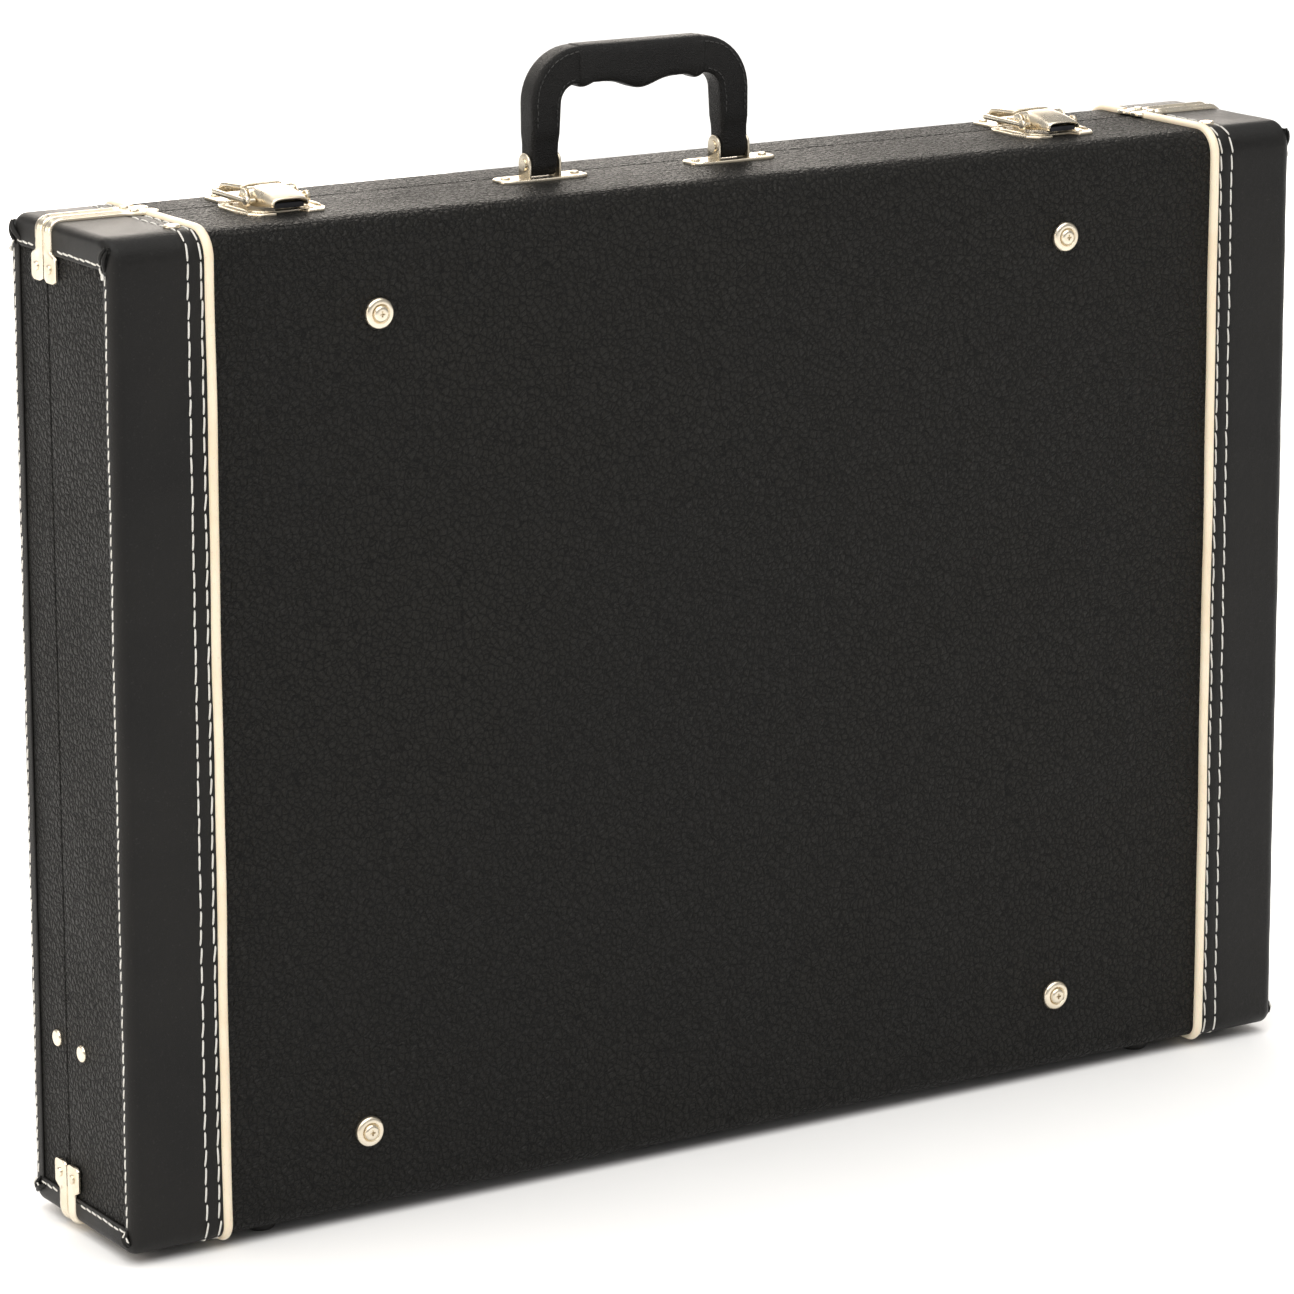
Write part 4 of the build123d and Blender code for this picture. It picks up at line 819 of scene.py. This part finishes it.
def pressed_plate(place, outline, corner_radius, thick, core, edge=0.6):
    """Flat plate with rounded corners and a turned upper edge, closed above and below.

    Its outline is a ring that rises, leans in by a quarter circle at the edge, and then shrinks
    to a short line: the outline's x limited to a core length, at one y."""
    outline = np.array(outline, float)
    begin = (outline[-1] + outline[0]) / 2
    line, ways = (values[:-1] for values in rounded_path(
        [begin, *outline, begin], (corner_radius,) * len(outline), step=1.5, arc_steps=5))
    inward = np.stack([-ways[:, 1], ways[:, 0]], -1)
    inward *= np.sign((inward * (line.mean(axis=0) - line)).sum())
    swing = np.linspace(0, pi / 2, 5)
    levels = [(0.0, 0.0), *((edge * (1 - cos(a)), thick - edge + edge * sin(a)) for a in swing), (1.6, thick)]
    rings = [points_of(*(line + inset * inward).T, z) for inset, z in levels]
    spine = [points_of(np.clip(line[:, 0], -core[0], core[0]), core[1], z) for z in (0.0, thick)]
    rings = np.stack([spine[0], *rings, spine[1]])
    looks = rings - np.r_[0, core[1], thick / 2]
    return facing(rings + place, grid_faces(len(rings), len(line), ring=True), looks)


def ear(place, half_wide, tall, thick):
    """Upright plate with an arched top, its outline carried across its thickness with soft edges."""
    angle = np.linspace(0, pi, 13)
    arc = np.stack([half_wide * np.cos(angle), tall - half_wide + half_wide * np.sin(angle)], -1)
    outline = np.concatenate([[(half_wide, 0.0)], arc, [(-half_wide, 0.0)]])
    steps = np.array([0.0, 0.12, 0.3, thick - 0.3, thick - 0.12, thick]) - thick / 2
    shrink = np.array([0.3, 0.1, 0.0, 0.0, 0.1, 0.3])
    middle = np.array([0.0, tall / 2])
    section = middle + (outline - middle) * (1 - shrink[:, None, None] / half_wide)
    return carried(place + points_of(steps, 0.0, 0.0), ALONG_Y, ALONG_Z, section)


def pin(start, long, radius, dome=0.5):
    """Round pin along X with domed ends."""
    swing = np.linspace(0, pi / 2, 5)
    along = np.r_[-dome * np.cos(swing), long + dome * np.sin(swing)]
    size = np.r_[np.sin(swing) * 0.6 + 0.4, np.cos(swing) * 0.6 + 0.4] * radius
    return carried(start + points_of(along, 0.0, 0.0), ALONG_Y, ALONG_Z, size[:, None, None] * disc(1.0, 16))


def rod(place, start, end, sizes, flat=(1.0, 1.0)):
    """Straight rod on a plate whose girth follows a row of sizes, for rails and lips."""
    share = np.linspace(0, 1, len(sizes))[:, None]
    path = place + np.array(start) + share * (np.array(end) - start)
    across = ALONG_Y if start[0] != end[0] else ALONG_X
    return carried(path, across, ALONG_Z, np.array(sizes)[:, None, None] * disc(1.0, 12) * np.array(flat))


def hood(place, spine, half_wide, depth, squareness=5.0):
    """Pressed cover: at each spine point (y, z) a superellipse arch across X, depth deep."""
    angle = np.linspace(0, pi, 27)
    power = 2.0 / squareness
    wide = np.sign(np.cos(angle)) * np.abs(np.cos(angle)) ** power
    tall = np.sin(angle).clip(0) ** power
    y, top, deep = spine[:, :1], spine[:, 1:], depth[:, None]
    points = points_of(half_wide[:, None] * wide, y, top - deep * (1 - tall))
    return facing(points + place, grid_faces(*points.shape[:2]), points - points_of(0.0, y, top - deep))


def lever(name):
    """Cover whose top rises from the open nose and rolls down round the pin, where its skirt is
    a circle about the pin, so that it clears the base as it lifts."""
    run = np.linspace(0, 1, 15)
    swing = np.linspace(0, radians(125), 10)[1:]
    pin_y, pin_z = LEVER_PIN
    y = np.r_[NOSE_Y + (pin_y - NOSE_Y) * run, pin_y + ROLL * np.sin(swing)]
    top = np.r_[pin_z + ROLL - 3.8 * (1 - run) ** 1.6, pin_z + ROLL * np.cos(swing)]
    half = np.interp(y, [NOSE_Y, -34.0, pin_y, -12.0], [9.4, 10.3, 11.6, 11.8])
    behind = (y - pin_y).clip(0.0, SKIRT_ROUND - 0.05)
    skirt = np.interp(y, [NOSE_Y, -24.0], [3.5, 2.2]).clip(pin_z - np.sqrt(SKIRT_ROUND ** 2 - behind ** 2))
    return hood(latch_spot(name), np.stack([y, top], -1), half, top - skirt, squareness=3.8)


def lever_curls(name):
    """Short curled tubes at both ends of the lever's pin."""
    place = latch_spot(name) + np.array([0.0, *LEVER_PIN])
    return [pin(place + [x, 0, 0], 3.4, 4.2, 0.4) for x in (-12.0, 8.6)]


def bail(name):
    """U-shaped bar on the outline of its two sides and back, its eyes and its hooked cover."""
    place = latch_spot(name)
    eye_y, eye_z = BAIL_PIN
    corners = [(-BAIL_HALF, eye_y, eye_z), (-BAIL_HALF, BAIL_BACK, 5.6), (BAIL_HALF, BAIL_BACK, 5.6),
               (BAIL_HALF, eye_y, eye_z)]
    line, ways = rounded_path(corners, (2.6, 2.6), step=3.0)
    across = unit(np.cross(ways, ALONG_Z))
    bar = carried(line + place, across, np.cross(across, ways),
                  disc(1.0, 16, squareness=4.0) * np.array([1.15, 1.35]))
    eyes = [pin(place + [x, eye_y, eye_z], 1.6, 2.7, 0.35) for x in (-16.7, 15.1)]
    stubs = [pin(place + [x, eye_y, eye_z], 3.4, 1.3, 0.1) for x in (-15.0, 11.6)]
    run = np.linspace(0, 1, 9)
    swing = np.linspace(0, radians(95), 9)[1:]
    y = np.r_[-10.8 + 19.2 * run, 8.4 + 3.4 * np.sin(swing)]
    top = np.r_[10.9 - 0.8 * run ** 2, 5.5 + 4.6 * np.cos(swing)]
    half = np.interp(y, [-11.0, -8.0, 6.0, 12.0], [10.4, 11.2, 11.6, 11.8])
    depth = np.r_[np.full(len(run), 3.2), 3.2 * np.cos(swing).clip(0.15)]
    cover = hood(place, np.stack([y, top], -1), half, depth, squareness=6.0)
    return [bar, *eyes, *stubs], cover


def mirrored(*right_half):
    """Outline whose left half repeats its right half, backwards."""
    return [*right_half, *((-x, y) for x, y in reversed(right_half))]


SHIELD = mirrored((19.0, -1.0), (22.0, -8.0), (22.5, -24.0), (20.6, -34.0), (16.5, -40.4), (8.5, -40.4),
                  (6.6, -34.0))
PRESSED_STEP = [(0.8 * x, -18.5 + 0.8 * (y + 18.5)) for x, y in SHIELD]
CATCH = mirrored((13.5, 1.0), (15.0, 6.0), (15.0, 20.0), (10.0, 27.0))
SPRING = mirrored((7.9, -37.3), (7.9, -21.0))
for name in SIDES:
    place = latch_spot(name)
    parts = [pressed_plate(place, SHIELD, 1.0, 1.2, (9.0, -18.0)),
             pressed_plate(place + [0, 0, 1.1], PRESSED_STEP, 0.9, 0.45, (8.0, -18.0), edge=0.3)]
    for side in SIDES.values():
        parts.append(rod(place, (side * 19.4, -32.0, 1.3), (side * 19.4, -9.0, 1.3),
                         (0.35, 0.9, 1, 1, 1, 1, 1, 0.9, 0.35), flat=(1.1, 0.95)))
        parts.append(ear(place + [side * 13.5, LEVER_PIN[0], 0.4], 4.1, 9.6, 1.1))
    piece(f"latch_plate_{name}", "tray", "nickel", nickel, *parts, sharp=50.0,
          replaces=[f"latch_base_{name}"])
    piece(f"latch_hood_{name}", f"lever_{name}", "nickel", nickel, lever(name), wall=0.9, sharp=60.0,
          replaces=[f"latch_lever_{name}"])
    # A near-black plate, shaped as the latch's inner spring, fills the lever's nose under the hood so that
    # the opening looks dark: painted shade.
    spring = pressed_plate(place + [0, 0, 2.6], SPRING, 1.0, 2.5, (6.0, -29.0), edge=0.5)
    piece(f"latch_spring_painted_shade_{name}", f"lever_{name}", "steel", nose_shade_steel, spring, sharp=50.0)
    piece(f"latch_curls_{name}", f"lever_{name}", "nickel", nickel, *lever_curls(name), sharp=50.0)
    bars, cover = bail(name)
    piece(f"latch_bail_{name}", f"link_{name}", "nickel", nickel, *bars, sharp=50.0,
          replaces=[f"latch_link_{name}"])
    piece(f"latch_bail_cover_{name}", f"link_{name}", "nickel", nickel, cover, wall=1.0, sharp=60.0)
    hook_lip = rod(place, (-8.5, 8.4, 1.7), (8.5, 8.4, 1.7), (0.4, 0.95, 1, 1, 1, 0.95, 0.4),
                   flat=(0.85, 0.85))
    piece(f"latch_keeper_{name}", "lid", "nickel", nickel, pressed_plate(place, CATCH, 1.2, 1.2, (8.0, 14.0)),
          hook_lip, sharp=50.0, replaces=[f"latch_catch_{name}"])
dress(nickel, "nickel", "latch_pins")

# ---- carrying handle -----------------------------------------------------------------------------
# A spring-steel strip bent to an arch is covered in fine-grained black leatherette, sewn along
# both edges, with a thicker finger grip wrapped round the beam. It swings between nickel ears.
handle_leather, spot, shader = finish("handle_leatherette", Roughness=0.45, Specular_IOR_Level=0.2)
skin = placed(pebbles, spot, 900.0, Crease=0.12)
marks = placed(handling, spot, 22.0)
body_black = mixed(marks["Smudge"], (0.0075, 0.0072, 0.007), (0.0125, 0.012, 0.0115))
# Painted shade: the creases of the grain are darkened towards black.
wire(shader, Base_Color=laid_over(skin["Crease"], 0.6, body_black,
                                  (0.005, 0.005, 0.005)))
wire(shader, Roughness=between(marks["Smudge"], 0.38, 0.5))
relief(shader, skin["Height"], 0.0003)
dress(nickel, "nickel", "handle_pins")
dress(steel, "steel", "handle_core")

grip_low, grip_high = packed_box("handle_grip")
HANDLE_X, HANDLE_Y = (grip_low[0] + grip_high[0]) / 2, (grip_low[1] + grip_high[1]) / 2
FOOT_Z, GRIP_TOP = grip_low[2] + 0.2, grip_high[2]
HALF_OUT = (grip_high[0] - grip_low[0]) / 2
POST, BEAM = 16.0, 18.5
CORNERS = (27.0, 9.0)                            # radii outside and inside
GRIP_HALF_DEPTH, FOOT_HALF_DEPTH = 7.0, 5.95
FOOT_ROUND = 6.0                                 # foot about its pin, which clears the mount

for name in SIDES:
    low, high = packed_box("handle_plate_" + name)
    place = np.array([(low[0] + high[0]) / 2, HANDLE_Y, low[2]])
    rounded = [(24.5, -7.6), (24.5, 7.6), (-24.5, 7.6), (-24.5, -7.6)]
    parts = [pressed_plate(place, rounded, 5.0, 1.4, (14.0, 0.0), edge=0.8)]
    for side in SIDES.values():
        parts.append(ear(place + [side * 8.5, 0.0, 0.6], 5.2, high[2] - low[2] - 0.6, 1.3))
    piece(f"handle_mount_{name}", "tray", "nickel", nickel, *parts, sharp=50.0,
          replaces=[f"handle_plate_{name}"])


def arch(outer_corner, inner_corner):
    """Outer and inner edge of the handle at the same stations: leg, corner arc and beam.

    Both start at the left foot; the posts narrow slightly towards their feet."""
    inner_half = HALF_OUT - POST
    outside = mirrored((HALF_OUT - 0.6, FOOT_Z), (HALF_OUT, GRIP_TOP))[::-1]
    inside = mirrored((inner_half + 1.2, FOOT_Z), (inner_half - 1.5, GRIP_TOP - BEAM))[::-1]
    made = []
    for corners, radius in ((outside, outer_corner), (inside, inner_corner)):
        corners = np.array(corners)
        line, _ = rounded_path(corners, (radius, radius), step=0.5, arc_steps=24)
        run = distances(line)
        leg = np.linalg.norm(corners[1] - corners[0]) - radius
        bend = pi / 2 * radius
        beam = run[-1] - 2 * (leg + bend)
        up_leg = leg * np.linspace(0, 1, 21) ** 1.8
        marks = np.concatenate([up_leg[:-1], leg + np.linspace(0, bend, 13)[:-1],
                                leg + bend + np.linspace(0, beam, 33)[:-1],
                                leg + bend + beam + np.linspace(0, bend, 13)[:-1],
                                run[-1] - up_leg[::-1]])
        made.append(spots_at(marks, run, line))
    return made


def handle_skin():
    """The arch's section is a rounded box between its outer and inner edge, carried round it.

    The leatherette is puffed a little between its edges, and narrows over the pin at each foot."""
    outer, inner = arch(*CORNERS)
    middle, reach = (outer + inner) / 2, (outer - inner) / 2
    over_pin = middle[:, 1] - FOOT_Z - FOOT_ROUND
    swell = np.clip((over_pin - 10.0) / 5.0, 0, 1)
    deep = FOOT_HALF_DEPTH + (GRIP_HALF_DEPTH - FOOT_HALF_DEPTH) * swell * swell * (3 - 2 * swell)
    deep = np.where(over_pin < 0, np.sqrt((FOOT_ROUND ** 2 - over_pin ** 2).clip(0.3)), deep)
    around = disc(1.0, 40, squareness=7.0)
    section = np.stack(np.broadcast_arrays(around[:, 0], deep[:, None] * around[:, 1]), -1)
    return carried(points_of(middle[:, 0] + HANDLE_X, HANDLE_Y, middle[:, 1]),
                   points_of(reach[:, 0], 0.0, reach[:, 1]), ALONG_Y, section)


def finger_grip():
    """Softer tube wrapped round the beam between two seams, with finger hollows underneath.

    Along the beam, s from -1 to 1, the underside drops in the middle as exp(-(s / 0.30)^2),
    hollows out either side, and swells again at both ends, where the wrap's edge turns in."""
    s = np.concatenate([[-1.0, -0.995, -0.985], np.linspace(-0.965, 0.965, 61), [0.985, 0.995, 1.0]])
    edge = np.sqrt(np.clip(1 - ((np.abs(s) - 0.965) / 0.035).clip(0, 1) ** 2, 0, 1))
    drop = 4.6 * np.exp(-(s / 0.30) ** 2) + 2.0 * np.exp(-((np.abs(s) - 0.90) / 0.11) ** 2) - 0.5
    top, bottom = GRIP_TOP + 0.55, GRIP_TOP - BEAM - 0.6 - drop
    middle, half = (top + bottom) / 2, (top - bottom) / 2
    around = disc(1.0, 40, squareness=4.2)
    shrink = 1 - 0.10 * (1 - edge)
    wide = GRIP_HALF_DEPTH + 0.75 + 0.5 * np.exp(-(s / 0.4) ** 2)
    section = np.stack([(wide * shrink)[:, None] * around[:, 0], (half * shrink)[:, None] * around[:, 1]], -1)
    creases = 0.10 * np.sin(s * 41.0)[:, None] * np.clip(-around[:, 1], 0, 1) * (np.abs(s) > 0.55)[:, None]
    section[..., 1] += creases
    return carried(points_of(HANDLE_X + 36.0 * s, HANDLE_Y, middle), ALONG_Y, ALONG_Z, section)


piece("handle_leather", "handle", "handle_leatherette", handle_leather, handle_skin(), finger_grip(),
      sharp=80.0, replaces=["handle_grip"])

black_thread, spot, shader = finish("black_thread", Roughness=0.6)
marks = placed(handling, spot, 60.0)
wire(shader, Base_Color=mixed(marks["Smudge"], (0.02, 0.02, 0.02), (0.035, 0.034, 0.032)))


def handle_stitches():
    """Small dark stitches just inside both edges of the arch, on both faces: one row outside,
    and a row up each post inside."""
    outer, inner = arch(*CORNERS)
    inset = 2.6 * unit(outer - inner)
    outer, inner = (line[line[:, 1] > FOOT_Z + 21.5] for line in (outer - inset, inner + inset))
    rows = [(40, outer), *((41, inner[side * inner[:, 0] > 37.5]) for side in SIDES.values())]
    surfaces = []
    for face in (-1, 1):
        for seed, line in rows:
            path = points_of(line[:, 0] + HANDLE_X, HANDLE_Y + face * (GRIP_HALF_DEPTH - 0.1), line[:, 1])
            surfaces.append(sewn(path, face * ALONG_Y, 3.1, 2.4, 0.3, seed=seed))
    return surfaces


piece("handle_stitching", "handle", "handle_leatherette", black_thread, *handle_stitches(), sharp=80.0)

# ---- hinges, stays and feet ----------------------------------------------------------------------
# Three rolled steel hinges on the underside, folding flat-link stays inside the ends, and four
# moulded rubber feet.
dress(steel, "steel", "tray_hinge_leaves", "lid_hinge_leaves", "hinge_pins",
      *(f"stay_{part}_{name}" for part in ("arm", "link", "elbow") for name in SIDES))
rubber, spot, shader = finish("black_rubber", Roughness=0.7)
marks = placed(handling, spot, 40.0)
wire(shader, Base_Color=mixed(marks["Smudge"], (0.012, 0.012, 0.012), (0.03, 0.029, 0.027)))
wire(shader, Roughness=between(marks["Smudge"], 0.6, 0.8))
dress(rubber, "rubber", "tray_feet", "lid_feet")

# ---- linings, deck cover and lid pad ---------------------------------------------------------------
# Both halves are lined with short black plush glued to the plywood. The deck wears a loop-pile
# sheet that takes hook tape, and a convoluted foam pad in the lid holds the pedals down.
plush, spot, shader = finish("black_plush", Roughness=0.95, Sheen_Weight=0.6, Sheen_Roughness=0.4)
nap = noise(spot, 34.0, 5.0, Roughness=0.7)
pile = noise(spot, 1400.0, 2.0)
wire(shader, Base_Color=mixed(between(nap, 0.0, 1.0, 0.35, 0.65),
                              (0.014, 0.014, 0.016), (0.03, 0.03, 0.034)))
relief(shader, reckon("MULTIPLY_ADD", nap, 1.5, pile), 0.0004)


PLUSH = 1.5                       # room for the plush on the plywood
DISH_BEND = 4.0                   # where wall and floor meet
RING = 240


def ring_of(half_x, low, high, radius, count):
    """Rounded rectangle in (x, z), its points spread evenly round it."""
    corners = [(0.0, low), (half_x, low), (half_x, high), (-half_x, high), (-half_x, low), (0.0, low)]
    line, _ = rounded_path(corners, (radius,) * 4, step=2.0)
    run = distances(line)
    return spots_at(np.linspace(0, run[-1], count, endpoint=False), run, line)


def lining(half):
    """A dish: the wall's ring goes down from the rim, round a small radius, and the floor's rings
    shrink towards a line along the middle."""
    low, high = packed_box(half + "_lining")
    sign = SIGNS[half]
    rim, floor_y = (high[1] - 0.4, low[1] + PLUSH) if half == "tray" else (low[1] + 0.4, high[1] - PLUSH)
    half_x, bottom, top = high[0] - PLUSH, low[2] + PLUSH, high[2] - PLUSH
    rings = []
    for y in np.linspace(rim, floor_y - sign * DISH_BEND, 6):
        outline = ring_of(half_x, bottom, top, 6.0, RING)
        rings.append(points_of(outline[:, 0], y, outline[:, 1]))
    for swing in np.linspace(0, pi / 2, 6)[1:]:
        inset = DISH_BEND * (1 - cos(swing))
        outline = ring_of(half_x - inset, bottom + inset, top - inset, 6.0 - 0.5 * inset, RING)
        rings.append(points_of(outline[:, 0], floor_y - sign * DISH_BEND * (1 - sin(swing)), outline[:, 1]))
    last, middle = rings[-1], (bottom + top) / 2
    line = points_of(np.clip(last[:, 0], 230 - half_x, half_x - 230), last[:, 1], middle)
    rings += [last + share * (line - last) for share in np.linspace(0, 1, 9)[1:]]
    points = np.stack(rings)
    return facing(points, grid_faces(len(rings), RING, ring=True), np.array([0.0, rim, middle]) - points)


for half in SIGNS:
    piece(half + "_plush", half, "plush", plush, lining(half), wall=1.1, sharp=80.0,
          replaces=[half + "_lining"])

loops, spot, shader = finish("loop_pile", Roughness=0.95, Sheen_Weight=0.4)
tufts = add(spot, "TexVoronoi", Vector=spot, Scale=520.0)
broad = noise(spot, 18.0, 4.0)
# Painted shade: the loops are lighter on their tops and darkened in the gaps between them, where the bump is
# lowest.
loops_painted_shade = mixed(between(tufts.outputs["Distance"], 0.0, 1.0, 0.1, 0.7),
                (0.055, 0.055, 0.06), (0.012, 0.012, 0.014))
wire(shader, Base_Color=laid_over(broad, 0.3, loops_painted_shade,
                                  (0.04, 0.04, 0.043)))
relief(shader, reckon("MULTIPLY", tufts.outputs["Distance"], -1.0), 0.0009)

SLOT_X, SLOT_LONG, SLOT_WIDE = 110.0, 90.0, 26.0
DECK_CORNER, TURNED_DOWN = 10.0, 1.2


def deck_sheet():
    """Each half of the sheet is a ring-shaped grid from its slot's edge out to the board's edge,
    by angle round the slot's middle; two of its angles are those of the seam's corners."""
    low, high = packed_box("deck_cover")
    middle, half_z, top = (low[2] + high[2]) / 2, (high[2] - low[2]) / 2, high[1]
    surfaces = []
    for side in SIDES.values():
        start = np.array([side * SLOT_X, middle])
        seam = np.arctan2(half_z * np.array([-1.0, 1.0]), -side * SLOT_X)
        angle = np.sort(np.concatenate([np.linspace(-pi, pi, 142, endpoint=False), seam]))
        way = np.stack([np.cos(angle), np.sin(angle)], -1)
        toward = np.where(way[:, :1] * side > 0, (high[0] - SLOT_X, half_z), (SLOT_X, half_z))
        reach = np.min(toward / np.maximum(np.abs(way), 1e-9), axis=1)
        edge = start + way * reach[:, None]
        past = np.stack([side * np.clip(side * edge[:, 0] - (high[0] - DECK_CORNER), 0, None),
                         np.sign(edge[:, 1] - middle)
                         * np.clip(np.abs(edge[:, 1] - middle) - (half_z - DECK_CORNER), 0, None)], -1)
        size = np.linalg.norm(past, axis=1, keepdims=True)
        outside = (np.abs(past) > 1e-6).all(axis=1, keepdims=True) & (size > DECK_CORNER)
        edge = np.where(outside, edge - past * (1 - DECK_CORNER / np.maximum(size, 1e-9)), edge)
        straight = (SLOT_LONG - SLOT_WIDE) / 2
        slot_edge = start + way * SLOT_WIDE / 2
        slot_edge[:, 0] += np.clip(way[:, 0] * 100, -straight, straight)
        share = np.r_[0.0, np.linspace(0.0, 1.0, 14), 1.0][:, None, None]
        flat = slot_edge + share * (edge - slot_edge)
        points = points_of(flat[..., 0], top, flat[..., 1])
        points[0, :, 1] -= TURNED_DOWN
        points[-1, :, 1] -= np.where(np.abs(points[-1, :, 0]) > 1e-3, TURNED_DOWN, 0.0)
        surfaces.append(facing(points, grid_faces(*points.shape[:2], ring=True), ALONG_Y))
    return surfaces


sheet = piece("deck_loop_sheet", "tray", "loop_pile", loops, *deck_sheet(), wall=0.25,
              replaces=["deck_cover"])

foam, spot, shader = finish("grey_foam", Roughness=0.95)
pores = add(spot, "TexVoronoi", Vector=spot, Scale=900.0)
broad = noise(spot, 30.0, 3.0)
# Painted shade: each pore, where the bump is lowest, is darker than the foam round it.
wire(shader, Base_Color=mixed(between(pores.outputs["Distance"], 0.0, 1.0, 0.0, 0.6),
                              (0.022, 0.022, 0.024), (0.075, 0.075, 0.08)))
relief(shader, reckon("MULTIPLY_ADD", broad, 0.5, pores.outputs["Distance"]), 0.0004)


CRATE_PITCH, CRATE_EDGE = 26.0, 5.0


def egg_crate():
    """Block whose face to the pedals waves as cos(x) * cos(z), fading out at its edges, which
    are rounded over."""
    low, high = packed_box("lid_foam_pad")
    x = np.linspace(low[0], high[0], 193)[:, None]
    z = np.linspace(low[2], high[2], 137)
    inset = np.minimum(np.minimum(x - low[0], high[0] - x), np.minimum(z - low[2], high[2] - z))
    over = np.clip(inset / CRATE_EDGE, 0, 1)
    crown = np.sqrt(np.clip(1 - (1 - over) ** 2, 0, 1))
    wave = 0.5 + 0.5 * np.cos(x * 2 * pi / CRATE_PITCH) * np.cos(z * 2 * pi / CRATE_PITCH)
    thick = (high[1] - low[1]) * (0.30 + 0.70 * wave) * crown
    front, back = points_of(x, high[1] - thick, z), points_of(x, high[1], z)
    quads = grid_faces(*front.shape[:2])
    return [facing(front, quads, -ALONG_Y), facing(back, quads, ALONG_Y)]


pad = piece("lid_pad", "lid", "foam", foam, *egg_crate(), sharp=80.0, replaces=["lid_foam_pad"])
